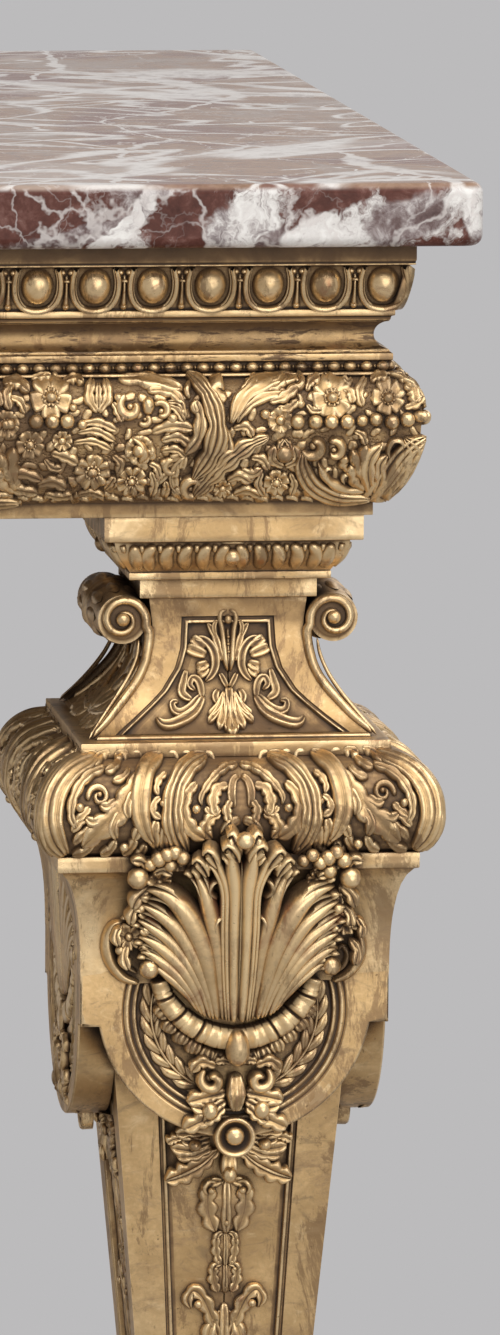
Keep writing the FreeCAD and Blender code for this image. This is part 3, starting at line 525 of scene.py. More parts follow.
# --------------------------------------------------------------- materials
class Nodes:
    """Short way to write a material's node tree."""

    def __init__(self, name):
        self.material = bpy.data.materials.new(name)
        self.material.use_nodes = True
        self.tree = self.material.node_tree
        self.bsdf = self.tree.nodes["Principled BSDF"]
        place = self.add("ShaderNodeObjectInfo").outputs["Location"]
        self.coord = self.vector("ADD", self.add("ShaderNodeTexCoord").outputs["Object"], place)

    def add(self, kind, inputs=(), **settings):
        node = self.tree.nodes.new(kind)
        for key, value in settings.items():
            setattr(node, key, value)
        for socket, value in dict(inputs).items():
            self.put(node, socket, value)
        return node

    def put(self, node, socket, value):
        target = node.inputs[socket]
        if isinstance(value, bpy.types.NodeSocket):
            self.tree.links.new(value, target)
        else:
            target.default_value = value

    def vector(self, op, *values):
        return self.add("ShaderNodeVectorMath", enumerate(values), operation=op).outputs[0]

    def length(self, coord):
        return self.add("ShaderNodeVectorMath", {0: coord}, operation="LENGTH").outputs["Value"]

    def math(self, op, a, b=0.0, clamp=False):
        return self.add("ShaderNodeMath", {0: a, 1: b}, operation=op, use_clamp=clamp).outputs[0]

    def plus(self, a, b):
        return self.math("ADD", a, b)

    def less(self, a, b, clamp=False):
        return self.math("SUBTRACT", a, b, clamp)

    def times(self, a, b):
        return self.math("MULTIPLY", a, b)

    def most(self, a, b):
        return self.math("MAXIMUM", a, b)

    def swing(self, value, amount):
        """A noise about zero, scaled."""
        return self.times(self.less(value, 0.5), amount)

    def mix(self, fac, a, b):
        node = self.add("ShaderNodeMix", {0: fac}, data_type="RGBA", blend_type="MIX")
        for socket, color in ((6, a), (7, b)):
            self.put(node, socket, color if isinstance(color, bpy.types.NodeSocket) else (*color, 1))
        return node.outputs[2]

    def mapped(self, kind="POINT", coord=None, **sockets):
        """The place, stretched or turned; POINT scales the pattern down, TEXTURE up."""
        sockets["Vector"] = coord or self.coord
        return self.add("ShaderNodeMapping", sockets, vector_type=kind).outputs[0]

    def noise(self, scale, detail=3.0, rough=0.55, coord=None, warp=0.0, output="Fac"):
        sockets = {"Vector": coord or self.coord, "Scale": scale, "Detail": detail,
                   "Roughness": rough, "Distortion": warp}
        return self.add("ShaderNodeTexNoise", sockets).outputs[output]

    def cells(self, scale, output="Distance", coord=None, feature="F1"):
        sockets = {"Vector": coord or self.coord, "Scale": scale}
        return self.add("ShaderNodeTexVoronoi", sockets, feature=feature).outputs[output]

    def step(self, value, low, high, a=0.0, b=1.0):
        return self.add("ShaderNodeMapRange", enumerate((value, low, high, a, b)),
                        interpolation_type="SMOOTHSTEP").outputs[0]

    def ramp(self, fac, *stops):
        node = self.add("ShaderNodeValToRGB", {0: fac})
        bar = node.color_ramp.elements
        while len(bar) < len(stops):
            bar.new(0.5)
        for e, (pos, color) in zip(bar, stops):
            e.position, e.color = pos, (*color, 1)
        return node.outputs[0]

    def bump(self, height, depth_mm, strength=1.0, normal=None):
        sockets = {"Strength": strength, "Distance": depth_mm * MM, "Height": height}
        if normal:
            sockets["Normal"] = normal
        return self.add("ShaderNodeBump", sockets).outputs[0]

    def set(self, **sockets):
        for key, value in sockets.items():
            self.put(self.bsdf, key.replace("_", " "), value)
        return self.material


# colours of the old gilding
LEAF_DEEP, LEAF_LIGHT, LEAF_DULL = (0.68, 0.455, 0.212), (0.79, 0.54, 0.268), (0.46, 0.295, 0.135)
STROKE_LIGHT, STROKE_DARK = (0.92, 0.71, 0.42), (0.36, 0.245, 0.13)
# painted sheen: light gold of the crests and of rubbed places, partly real wear and burnish
CREST_SHEEN, RUBBED_SHEEN = (0.97, 0.735, 0.425), (1.0, 0.755, 0.42)
STAIN, WORN_GREY, FLAKE = (0.27, 0.165, 0.085), (0.31, 0.205, 0.115), (0.085, 0.05, 0.032)
# brown and near black of dirt mixed with painted shade; the specks are dirt
GRIME_AND_SHADE, SOOT_AND_SHADE, SPECK = (0.17, 0.098, 0.047), (0.035, 0.020, 0.011), (0.07, 0.04, 0.022)
BOLE = (0.30, 0.115, 0.055)


def gilding(name, grime_and_shade=0.0, ground=False, relief=None, worn=False):
    """Old water gilding: worn gold over red bole; the hollows brown with dirt and with painted shade from
    ambient occlusion, the crests and rubbed places with a painted sheen.
    """
    n = Nodes(name)
    if relief is None:
        relief = n.add("ShaderNodeAttribute", attribute_name="relief").outputs["Fac"]
    shade = n.add("ShaderNodeAmbientOcclusion", {"Distance": 0.011}, samples=6).outputs["AO"]
    bent = n.add("ShaderNodeNewGeometry").outputs["Pointiness"]
    broad = n.noise(17, 3, 0.6, warp=0.3)
    patchy = n.noise(70, 4, 0.6, warp=0.6)
    fine = n.noise(420, 3, 0.6)
    # dirt and painted shade lie where it is deep or occluded, and are taken off the crests
    open_and_unshaded = n.times(n.step(shade, 0.25, 0.95), n.step(relief, 0.02, 0.5, 0.3, 1.0))
    dirt_and_shade = n.plus(n.less(1.0, open_and_unshaded), n.swing(patchy, 0.55))
    # painted sheen on the crests, where the mesh is pointy, partly edge wear
    crest_sheen = n.times(n.step(bent, 0.506, 0.545), n.step(patchy, 0.36, 0.60, 0.45, 1.0))
    # painted shade in the creases, where the mesh is hollow
    dirt_and_shade = n.plus(dirt_and_shade, n.times(n.step(bent, 0.494, 0.458), 0.45))
    dirt_and_shade = n.less(dirt_and_shade, n.times(crest_sheen, 0.30))
    dirt_and_shade = n.math("ADD", dirt_and_shade, grime_and_shade - 0.05, clamp=True)
    # gold leaf with the brush strokes of its toning, and stains that hang down
    gold = n.mix(n.step(fine, 0.35, 0.7), LEAF_DEEP, LEAF_LIGHT)
    gold = n.mix(n.step(broad, 0.35, 0.65, 0.0, 0.75), gold, LEAF_DULL)
    drawn = n.mapped(Scale=(1.0, 1.0, 1.7))
    streak = n.noise(60, 6, 0.72, coord=drawn, warp=1.1)
    gold = n.mix(n.step(streak, 0.53, 0.72, 0.0, 0.5), gold, STROKE_LIGHT)
    gold = n.mix(n.step(streak, 0.47, 0.30, 0.0, 0.8), gold, STROKE_DARK)
    # painted sheen on the crests
    gold = n.mix(n.times(crest_sheen, 0.75), gold, CREST_SHEEN)
    smear = n.noise(23, 6, 0.74, coord=drawn, warp=0.5)
    stain = n.noise(26, 10, 0.78, coord=n.mapped(Scale=(1.0, 1.0, 0.34)), warp=0.4)
    gold = n.mix(n.step(stain, 0.51, 0.56, 0.0, 0.72), gold, STAIN)
    grey = n.times(n.step(smear, 0.51, 0.68), n.step(streak, 0.40, 0.60, 0.25, 0.75))
    gold = n.mix(grey, gold, WORN_GREY)
    # dirt and painted shade: brown, then near black
    color = n.mix(n.step(dirt_and_shade, 0.12, 0.62), gold, GRIME_AND_SHADE)
    color = n.mix(n.step(dirt_and_shade, 0.55, 1.0), color, SOOT_AND_SHADE)
    # bole shows on proud edges, and rubbed places get a painted sheen, partly real burnish
    proud = n.times(n.step(relief, 0.78, 1.0), n.step(patchy, 0.53, 0.66))
    proud = n.times(proud, n.step(relief, 1.3, 1.05))
    color = n.mix(n.times(proud, 0.55), color, BOLE)
    specks = n.step(n.noise(230, 2, 0.7), 0.70, 0.76)
    color = n.mix(n.times(specks, 0.6), color, SPECK)
    rubbed_sheen = n.times(n.step(relief, 1.02, 1.35), n.step(patchy, 0.30, 0.62, 1.0, 0.6))
    color = n.mix(n.times(rubbed_sheen, 0.85), color, RUBBED_SHEEN)
    if worn:
        flake = n.noise(300, 8, 0.78, coord=n.mapped(Scale=(0.17, 0.17, 1.0)), warp=0.3)
        color = n.mix(n.step(flake, 0.53, 0.575, 0.0, 0.85), color, FLAKE)
    metal = n.times(n.step(dirt_and_shade, 0.2, 0.75, 0.88, 0.1), n.less(1.0, n.times(grey, 0.35)))
    metal = n.times(metal, n.less(1.0, n.times(rubbed_sheen, 0.60)))
    rough = n.plus(n.step(dirt_and_shade, 0.0, 0.7, 0.40, 0.68), n.times(grey, 0.2))
    rough = n.plus(rough, n.swing(fine, 0.16))
    rough = n.less(rough, n.times(n.most(crest_sheen, rubbed_sheen), 0.12))
    normal = n.bump(n.plus(n.times(patchy, 0.7), n.times(fine, 0.3)), 0.35, 0.55)
    if ground:
        normal = n.bump(n.step(n.cells(700), 0.1, 0.5), 0.5, 0.7, normal)
    return n.set(Base_Color=color, Metallic=metal, Roughness=rough, Normal=normal)


# colours of the marble
GROUND_TONES = ((0.28, (0.24, 0.145, 0.098)), (0.5, (0.35, 0.225, 0.158)), (0.74, (0.45, 0.325, 0.25)))
RED_TONES = ((0.30, (0.060, 0.020, 0.015)), (0.52, (0.120, 0.045, 0.035)),
             (0.64, (0.20, 0.098, 0.082)), (0.76, (0.44, 0.33, 0.31)))
VIOLET_TONES = ((0.28, (0.075, 0.042, 0.040)), (0.45, (0.16, 0.110, 0.108)),
                (0.54, (0.30, 0.25, 0.25)), (0.66, (0.64, 0.60, 0.60)))
SPAR_TONES = ((0.34, (0.24, 0.20, 0.205)), (0.43, (0.50, 0.46, 0.46)),
              (0.50, (0.76, 0.74, 0.73)), (0.62, (0.90, 0.89, 0.88)))
CLOUD_DARK, CLOUD_GREY, HAZE = (0.22, 0.11, 0.09), (0.40, 0.33, 0.29), (0.66, 0.585, 0.54)
VEIN_WHITE, THREAD, SEAM = (0.82, 0.79, 0.77), (0.80, 0.76, 0.74), (0.74, 0.70, 0.69)
EDGE_THREAD = (0.82, 0.79, 0.78)
# long veins of the upper face: scale, turn in radians, width
VEINS = ((2.6, 0.80, 0.036), (2.2, -0.66, 0.032), (3.1, 0.42, 0.020), (2.9, -0.30, 0.018))
# the greater patches of the front edge, in metres: x, z, half length, half height, lean, kind
EDGE_PATCHES = ((0.488, 0.861, 0.046, 0.016, 0.12, "red"), (0.562, 0.853, 0.017, 0.014, 0.3, "red"),
                (0.634, 0.864, 0.014, 0.006, 0.3, "red"), (0.508, 0.848, 0.034, 0.0055, 0.42, "violet"),
                (0.536, 0.856, 0.024, 0.0045, 0.75, "spar"), (0.593, 0.858, 0.020, 0.013, 0.25, "spar"),
                (0.602, 0.845, 0.019, 0.0055, 0.6, "violet"), (0.628, 0.849, 0.017, 0.0075, 0.1, "spar"),
                (0.664, 0.856, 0.018, 0.011, 0.2, "violet"), (0.697, 0.856, 0.009, 0.014, 0.0, "spar"))
DRIFT_X, DRIFT_Z = 0.035, 0.025  # how far the mean of the wobble shifts a patch
EDGE_Y, EDGE_DEEP = -0.38, 0.03
ARRIS = (0.8668, 0.8692)         # heights between which the edge gives way to the face


def marble():
    """Polished red breccia: long crossed veins above, broken patches on the edge."""
    n = Nodes("breccia_marble")
    drift = n.noise(9.0, 6.0, 0.62, output="Color")

    def bend(x, y, z):
        return n.vector("MULTIPLY_ADD", drift, (x, y, z), n.coord)

    def broken_cells(scale, output, feature, tall=1.0, turn=0.0, lean=0.0, coord=None):
        lay = n.mapped(coord=coord, Rotation=(0.0, lean, turn), Scale=(1.0, tall, 1.0))
        return n.cells(scale, output, lay, feature)

    def edges(scale, **lay):
        return broken_cells(scale, "Distance", "DISTANCE_TO_EDGE", **lay)

    def vein(scale, turn, width, stretch=3.2):
        """Long lines that run one way, thinning and swelling."""
        lay = n.mapped("TEXTURE", Rotation=(0.0, 0.0, turn), Scale=(1.0, 1.0 / stretch, 1.0))
        off = n.math("ABSOLUTE", n.less(n.noise(scale, 3.0, 0.5, coord=lay, warp=0.06), 0.5))
        swell = n.noise(scale * 1.3, 2, 0.5, coord=lay)
        thick = n.step(swell, 0.40, 0.68, width * 0.12, width)
        return n.less(1.0, n.math("DIVIDE", off, thick), clamp=True)

    soft, strong = bend(0.05, 0.05, 0.05), bend(0.12, 0.12, 0.12)
    fine = n.noise(95, 6, 0.68, warp=0.4)
    cloud = n.noise(13, 5, 0.6, coord=strong, warp=0.5)
    wide = n.noise(5, 3, 0.6, coord=soft)
    # upper face: warm grey-brown ground between long veins
    ground = n.mix(n.step(cloud, 0.50, 0.62, 0.0, 0.8), n.ramp(fine, *GROUND_TONES), CLOUD_DARK)
    ground = n.mix(n.step(cloud, 0.46, 0.36, 0.0, 0.6), ground, CLOUD_GREY)
    net = edges(7.0, coord=soft, tall=0.62, turn=0.5)
    net = n.math("DIVIDE", net, n.step(wide, 0.42, 0.66, 0.010, 0.085))
    white = n.step(n.less(1.0, net, clamp=True), 0.0, 0.55)
    white = n.times(white, n.step(fine, 0.30, 0.52, 0.35, 0.85))
    for scale, turn, width in VEINS:
        line = n.step(vein(scale, turn, width), 0.0, 0.8)
        white = n.most(white, n.times(line, n.step(fine, 0.28, 0.56, 0.45, 0.95)))
    ground = n.mix(n.step(vein(1.6, 0.25, 0.10, 2.6), 0.05, 0.9, 0.0, 0.40), ground, HAZE)
    thread = n.step(edges(15.0, coord=strong, tall=0.8, turn=-0.7), 0.0, 0.018, 1.0, 0.0)
    thread = n.times(thread, n.step(cloud, 0.40, 0.56, 0.15, 0.7))
    hair = n.step(edges(31.0, coord=strong), 0.0, 0.022, 1.0, 0.0)
    hair = n.times(hair, n.step(wide, 0.60, 0.42, 0.0, 0.30))
    lines = n.most(thread, hair)
    above = n.mix(lines, n.mix(white, ground, VEIN_WHITE), THREAD)
    # edge: red and violet-grey clasts in white spar
    veil = n.noise(60, 7, 0.7, coord=strong, warp=0.8)
    kinds = {"red": n.ramp(fine, *RED_TONES), "violet": n.ramp(fine, *VIOLET_TONES),
             "spar": n.ramp(veil, *SPAR_TONES)}
    hue = n.add("ShaderNodeSeparateColor",
                {0: broken_cells(23.0, "Color", "F1", lean=0.7, coord=strong)})
    broken = n.mix(n.step(hue.outputs[0], 0.52, 0.60), kinds["red"], kinds["violet"])
    patch = n.noise(17, 6, 0.66, coord=strong, warp=0.9)
    broken = n.mix(n.step(patch, 0.51, 0.60), broken, kinds["spar"])
    broken = n.mix(n.times(n.step(hue.outputs[1], 0.84, 0.88), 0.9), broken, kinds["spar"])
    wobble = bend(2 * DRIFT_X, 0.0, 2 * DRIFT_Z)
    for x, z, long, tall, lean, kind in EDGE_PATCHES:
        lay = n.mapped("TEXTURE", wobble, Location=(x + DRIFT_X, EDGE_Y, z + DRIFT_Z),
                       Rotation=(0.0, -lean, 0.0), Scale=(long, EDGE_DEEP, tall))
        away = n.plus(n.length(lay), n.swing(fine, 0.5))
        broken = n.mix(n.step(away, 1.14, 0.84), broken, kinds[kind])
    seam = n.plus(edges(23.0, coord=strong, lean=0.7), n.swing(fine, 0.10))
    broken = n.mix(n.step(seam, 0.0, 0.05, 0.65, 0.0), broken, SEAM)
    broken = n.mix(n.times(lines, 0.6), broken, EDGE_THREAD)
    height = n.add("ShaderNodeSeparateXYZ", {0: n.coord}).outputs["Z"]
    return n.set(Base_Color=n.mix(n.step(height, *ARRIS), broken, above),
                 Roughness=n.step(fine, 0.3, 0.7, 0.17, 0.27),
                 Normal=n.bump(n.noise(300, 3, 0.6), 0.05, 0.25), Specular_IOR_Level=0.12)


def timber(name, dark, light, scale=22.0):
    """Plain sawn wood with grain."""
    n = Nodes(name)
    lines = n.noise(scale * 4, 6, 0.65, coord=n.mapped("TEXTURE", Scale=(9.0, 1.0, 1.0)), warp=0.8)
    color = n.ramp(lines, (0.3, dark), (0.7, light))
    color = n.mix(n.step(n.noise(9, 4), 0.45, 0.7, 0, 0.5), color, [c * 0.6 for c in dark])
    return n.set(Base_Color=color, Roughness=n.step(lines, 0.3, 0.7, 0.75, 0.6),
                 Normal=n.bump(lines, 0.3, 0.5))


def iron():
    n = Nodes("old_iron")
    rust = n.noise(300, 4, 0.6)
    color = n.ramp(rust, (0.4, (0.05, 0.045, 0.042)), (0.7, (0.16, 0.08, 0.045)))
    return n.set(Base_Color=color, Metallic=0.6, Roughness=n.step(rust, 0.3, 0.7, 0.45, 0.8),
                 Normal=n.bump(rust, 0.2, 0.5))


GOLD = gilding("antique_gilding")
GROUND = gilding("gilded_ground", grime_and_shade=0.04, ground=True)
PLAIN = gilding("plain_gilding", relief=0.7)
WORN = gilding("worn_gilding", worn=True)
MARBLE = marble()
WOOD = timber("apron_timber", (0.14, 0.085, 0.05), (0.30, 0.20, 0.125))
PEGWOOD = timber("peg_timber", (0.22, 0.14, 0.08), (0.42, 0.29, 0.18), 40.0)
IRON = iron()


# ------------------------------------------------- from photograph to leg
# each course of the leg in the photograph: how far its marks lie from the axis
# of the front right leg, and the pixel at its middle
COURSES = {"frieze": (82.4, 205, 436), "capital": (47.8, 234, 666), "cushion": (87.5, 220, 798),
           "palmette": (79.8, 234, 936), "pendant": (76.0, 235, 1095)}
RIGHT, UP, FORWARD = sight_frame()
SWELL = 83.0                     # a reach just in front of the frieze's fullest part
SLANT = 0.134                    # sideways run of a line of sight to the frieze, per depth


def sighted(u, v, reach):
    """Where a pixel meets the plane at this reach: X from the leg's axis, Z from the floor."""
    line = FOCAL * FORWARD + (u - PHOTO_WIDE / 2) * RIGHT - (v - PHOTO_HIGH / 2) * UP
    eye = np.array(EYE) / MM
    point = eye - line * (LEG_Y + reach + eye[1]) / line[1]
    return np.array([point[0] - LEG_X, point[2]])


def marks(course, *points):
    """Pixels on a course. The lens is long, so the scale at the middle serves all of it."""
    reach, mid_u, mid_v = COURSES[course]
    middle = sighted(mid_u, mid_v, reach)
    across = sighted(mid_u + 1, mid_v, reach) - middle
    down = sighted(mid_u, mid_v + 1, reach) - middle
    return [tuple(middle + (u - mid_u) * across + (v - mid_v) * down) for u, v in points]


def seat(course, surf):
    """Marks on a course, carried from its swell along the line of sight to the surface."""
    eye_z, eye_far = EYE[2] / MM, -EYE[1] / MM - LEG_Y

    def at(*points):
        out = []
        for x0, z0 in marks(course, *points):
            x, z = x0, z0
            for _ in range(3):
                back = SWELL - float(surf.reach(z))
                x, z = x0 + SLANT * back, z0 - back * (eye_z - z0) / eye_far
            out.append((x, z))
        return out
    return at


def about(course, centre, *points):
    """Marks on a course, measured from the middle of the leg's face."""
    shift = marks(course, (centre, points[0][1]))[0][0]
    return [(x - shift, z) for x, z in marks(course, *points)]


# each side: name, half the run between the leg axes, their distance from the middle, turn
SIDES = (("front", LEG_X, LEG_Y, 0), ("right", LEG_Y, LEG_X, 90),
         ("back", LEG_X, LEG_Y, 180), ("left", LEG_Y, LEG_X, 270))


# ------------------------------------------------------- cornice and cove
CORNICE = [(INNER, Z_SLAB), (80, Z_SLAB), (80, 832.6), (79.4, 831.6), (80, 830.6), (76.8, 830.0),
           (75.6, 828), (74.2, 822), (72.2, 815), (70.4, 809.9), (71.6, 809.7), (71.6, 806.6),
           (70, 806.2), (69.6, 804.2), (INNER, Z_COVE)]
EGG_BED = CORNICE[5:10]
EGG_REACH, EGG_LEAN = 72.6, 0.24
EGG_SPAN = 65.5                       # the outermost egg, past the leg's axis
EGG_COUNT = {LEG_Y: 51, LEG_X: 27}    # by the side's distance from the middle
EGG_PITCH = {LEG_Y: 2 * (LEG_X + EGG_SPAN) / (EGG_COUNT[LEG_Y] - 1),
             LEG_X: 2 * (LEG_Y + EGG_SPAN) / (EGG_COUNT[LEG_X] - 1)}
# painted shadow: the fillet above this height, under the slab, is darkened
SLAB_SHADOW_ABOVE = 832.0

SCOTIA_TURNS = np.linspace(0.15, math.pi - 0.15, 15)
SCOTIA = [(70.4 - 7.4 * math.sin(t), 797.3 + 6.6 * math.cos(t)) for t in SCOTIA_TURNS]
COVE = [(INNER, Z_COVE), (69.4, Z_COVE), *SCOTIA, (69.4, 790.2), (70.0, 789.4), (70.9, 789.2),
        (70.9, 786.2), (69.2, 785.6), (68.8, 781.3), (INNER, Z_FRIEZE)]
BEAD_Z, BEAD_PITCH = 783.3, 7.48


def egg_motif(half_y):
    """One egg in its shell, at x = 0."""
    out = np.array([0, -math.cos(EGG_LEAN), -math.sin(EGG_LEAN)])
    up = np.array([0, -math.sin(EGG_LEAN), math.cos(EGG_LEAN)])
    egg = ball((0, -half_y - EGG_REACH, 821.6), [(7.6, 0, 0), up * 9.1, out * 7.6], 12, 20,
               point_y=0.06)
    bed = Square([(r + half_y, z) for r, z in EGG_BED], flat=True)
    u = [(-9.3, 830.0), (-10.5, 824), (-9.9, 816.8), (-6.4, 811.9), (0, 810.2),
         (6.4, 811.9), (9.9, 816.8), (10.5, 824), (9.3, 830.0)]
    shell = blade(bed, u, [1.4, 1.5, 1.5, 1.5, 1.4], 4.6, 28, root="", tip="", lift=(1.0, 1.0, 1.0))
    lip = blade(bed, [(x * 0.86, z + (0.7 if z < 820 else 0)) for x, z in u],
                [0.6, 0.6, 0.6], 2.7, 26, 5, root="", tip="", lift=(1.0, 1.0, 1.0))
    return egg + shell + lip


def tongue_motif(half_y):
    """Reeded tongue between two shells, half a pitch to the right."""
    bed = Square([(r + half_y, z) for r, z in EGG_BED], flat=True)
    x = EGG_PITCH[half_y] / 2
    out = blade(bed, [(x, 826.5), (x, 819), (x, 810.6)], [1.0, 0.9, 1.9], 2.8, 9, 7, root="")
    out += blade(bed, [(x - 2.6, 823.6), (x, 824.2), (x + 2.6, 823.6)], [0.8, 0.9, 0.8], 3.2, 6, 5)
    for s in (-1, 1):
        out += berry(bed, x + 1.9 * s, 828.1, 1.6, 0.9, 6, 9)
    return out + berry(bed, x, 812.2, 1.9, 0.8, 6, 9)


def cornice_side(name, hx, hy, turn):
    # painted shadow on the top fillet under the slab
    run = [(p, np.where(p[..., 2] > SLAB_SHADOW_ABOVE, 0.25 * k, k))
           for p, k in edge_run(CORNICE, hx, hy, 0.5, 60, 0.12)]
    # painted shade: darker towards the foot, on the underside
    run = tone_by_height(run, [804.5, 806, 809.5, 811.5], [0.25, 0.45, 0.6, 1.0])
    xs = -hx - EGG_SPAN + EGG_PITCH[hy] * np.arange(EGG_COUNT[hy])
    run += repeat(egg_motif(hy), xs) + repeat(tongue_motif(hy), xs[:-1])
    solid("eggs_" + name, turn_z(run, turn), GOLD, "cornice_" + name)


def cove_side(name, hx, hy, turn):
    # painted highlight in the lower half of the scotia and painted shade at its top under the fillet, set
    # by scaling the cavity with height
    run = tone_by_height(edge_run(COVE, hx, hy, 0.4, 80, 0.25),
                         [789.4, 791.5, 796, 800, 804.2], [0.8, 2.5, 1.9, 0.6, 0.3])
    length = 2 * (hx + 70.0)
    count = round(length / BEAD_PITCH)
    start, pitch = -length / 2, length / count
    bead = round_ball(0, -hy - 69.9, BEAD_Z, 3.05, 2.7, 9, 13, tall=2.5)
    run += repeat(bead, start + pitch * (np.arange(count) + 0.5))
    disc = round_ball(0, -hy - 69.4, BEAD_Z, 0.8, 1.5, 5, 6, tall=1.3)
    run += repeat(disc, start + pitch * np.arange(1, count))
    solid("cove_beads_" + name, turn_z(run, turn), WORN, "cove_" + name)


for side in SIDES:
    cornice_side(*side)
    cove_side(*side)


# ------------------------------------------------------- carved motifs
def rosette(surf, x, z, r, petals=5, height=2.2, turn=0.3, eye=0.28, ribs=0):
    out = []
    for i in range(petals):
        a = turn + TAU * i / petals
        c, s = math.cos(a), math.sin(a)
        path = [(x + c * r * f, z + s * r * f) for f in (0.12, 0.55, 1.0)]
        out += blade(surf, path, [r * 0.14, r * 0.42, r * 0.44], height, 10, 9, ribs,
                     lift=(0.4, 0.8, 1.1), cup=0.62)
    return out + berry(surf, x, z, r * eye, 0.95, 7, 10)


def acanthus(surf, points, half, lobes=4, height=2.4):
    """Leaf of overlapping ribbed lobes swept forwards from a stem."""
    path, tangent, across = strip_lines(points, 61)
    length = np.linalg.norm(np.diff(path, axis=0), axis=1).sum()
    widest = float(np.max(half))
    stem = widest * 0.17
    span = length / (lobes + 0.6)
    out = []
    for i in range(lobes):
        t = 0.02 + 0.80 * i / lobes
        k = int(t * 60)
        w = float(along(half, min(1.0, t + 0.15)))
        a, ahead = path[k], tangent[k] * span
        for side in (1, -1):
            aside = across[k] * side * w
            out += blade(surf, [a, a + aside * 0.45 + ahead * 0.55, a + aside * 0.95 + ahead * 1.25],
                         [span * 0.20, span * 0.42, span * 0.34],
                         height * (0.75 + 0.25 * w / widest), 10, 7, 2,
                         lift=(0.5, 0.85, 1.0), rib_depth=0.35)
    out += blade(surf, path[44:], [span * 0.3, span * 0.5, span * 0.3], height, 10, 7, 2,
                 lift=(0.8, 1.0, 1.0), rib_depth=0.35)
    return out + blade(surf, path, [stem * 1.5, stem, stem * 0.6], height * 1.15, 16, 5,
                       lift=(1.0, 1.0, 0.9))


def scroll(surf, points, half, height=2.6, ribs=0, eye=0.0, n=26, m=7):
    """Tapering stem that rolls up; eye is the berry's radius at its end."""
    out = blade(surf, points, half, height, n, m, ribs, lift=(0.7, 1.0, 1.0), rib_depth=0.35)
    if eye:
        out += berry(surf, *points[-1], eye, 0.9, 7, 10)
    return out


def husk(surf, x, top, foot, half, height=3.4):
    """Leafy bell hanging down: two raffled sides rolled at the shoulder over a middle leaf."""
    h = top - foot
    out = blade(surf, [(x, top), (x, top - 0.3 * h), (x, top - 0.7 * h), (x, foot)],
                [half * 0.3, half * 0.92, half * 0.88, half * 0.3], height * 0.55, 30, 11,
                lobes=3, notch=0.2)
    out = tone(out, 0.5)
    out += blade(surf, [(x, top), (x, top - 0.5 * h), (x, foot - 0.02 * h)],
                 [half * 0.16, half * 0.24, half * 0.2], height * 1.05, 20, 9, 2, lobes=2, notch=0.2)
    for s in (-1, 1):
        outer = [(x + s * half * 0.14, top - 0.02 * h), (x + s * half * 0.58, top - 0.08 * h),
                 (x + s * half * 0.74, top - 0.34 * h), (x + s * half * 0.66, top - 0.66 * h),
                 (x + s * half * 0.40, foot + 0.02 * h)]
        out += blade(surf, outer, [half * 0.16, half * 0.32, half * 0.44, half * 0.42, half * 0.24],
                     height, 48, 15, 2, lift=(0.7, 1.0, 0.95, 1.05), rib_depth=0.22, lobes=4,
                     notch=0.42, cup=0.25)
        out += berry(surf, x + s * half * 0.60, top - 0.20 * h, half * 0.15, 2.6, 7, 10)
        out += blade(surf, [(x + s * half * 0.34, top - 0.08 * h), (x + s * half * 0.66, top - 0.03 * h),
                            (x + s * half * 0.88, top - 0.16 * h), (x + s * half * 0.74, top - 0.30 * h)],
                     [half * 0.10, half * 0.15, half * 0.15, half * 0.09], height * 1.12, 22, 7)
    out += berry(surf, x, top - 0.80 * h, half * 0.13, 2.6, 6, 8)
    # lifted: lighter, with some painted sheen on the crests
    return tone(out, 1.05, 0.1)


# --------------------------------------------------------------- abacus
ABACUS = [(INNER, Z_FRAME), (59.7, Z_FRAME), (59.7, 702.2), (54.4, 702.0), (53.7, 698.2),
          (51.0, 693.0), (47.6, 688.6), (46.2, 686.6), (46.6, 686.2), (46.6, 683.0),
          (41.2, 682.8), (40.9, 682.4), (40.9, Z_BLOCK_TOP), (INNER, Z_BLOCK_TOP)]


def abacus():
    out = tone(four(edge_run(ABACUS, 0, 0, 0.5, 10, 0.1)), 0.82)
    bed = Square(ABACUS[3:8], corner=3)
    face = []
    for i in range(6):
        x = 4.2 + 8.6 * i
        lean = 3.2 + 0.5 * i
        path = [(x - lean * 0.55, 700.8), (x + 0.5, 695.0), (x + lean * 0.2 - i * 0.9, 687.6)]
        if i == 5:
            path = [(x - 1.5, 700.8), (x - 2.6, 695.5), (x - 5.2, 688.0)]
        face += blade(bed, path, [1.6, 3.5, 2.0], 2.6, 12, lift=(0.9, 1.1, 0.7))
        face += blade(bed, [(x + 3.6, 700.6), (x + 4.2 - i * 0.35, 696.5)], [1.5, 1.0], 1.9, 8, 7)
    face = both(face) + berry(bed, 0, 694.8, 4.0, 0.8, 9, 12, 1.1)
    face += blade(bed, [(-6, 700.9), (0, 701.2), (6, 700.9)], [0.6, 1.1, 0.6], 1.8, 9, 5)
    return out + four(face)


# -------------------------------------------------------------- capital
DEEP = Square(arc3((39.5, Z_BLOCK_TOP), (39.6, 660.0), (42.5, 645.5), 6)[:-1]
              + arc3((42.5, 645.5), (46.9, 627.0), (61.6, Z_BLOCK_FOOT), 12))
SIDE_LINE = np.array([(Z_BLOCK_TOP, 36.5), (664, 35.2), (656, 34.6), (646, 36.2), (640, 38.4),
                      (634, 41.6), (626, 48.0), (618, 56.5), (614, 61.0),
                      (Z_BLOCK_FOOT, 64.5)])[::-1]


def block_half(z):
    return np.interp(z, SIDE_LINE[:, 0], SIDE_LINE[:, 1])


def front_reach(x, z):
    return DEEP.reach(z) + 0 * x


PANEL_LINE = np.array([(665, 21.4), (651, 22.2), (641.5, 25.0), (631.5, 31.5), (626, 37.5),
                       (620, 45.0), (616, 50.5), (612, 56.0)])[::-1]


def panel_half(z):
    return np.interp(z, PANEL_LINE[:, 0], PANEL_LINE[:, 1])


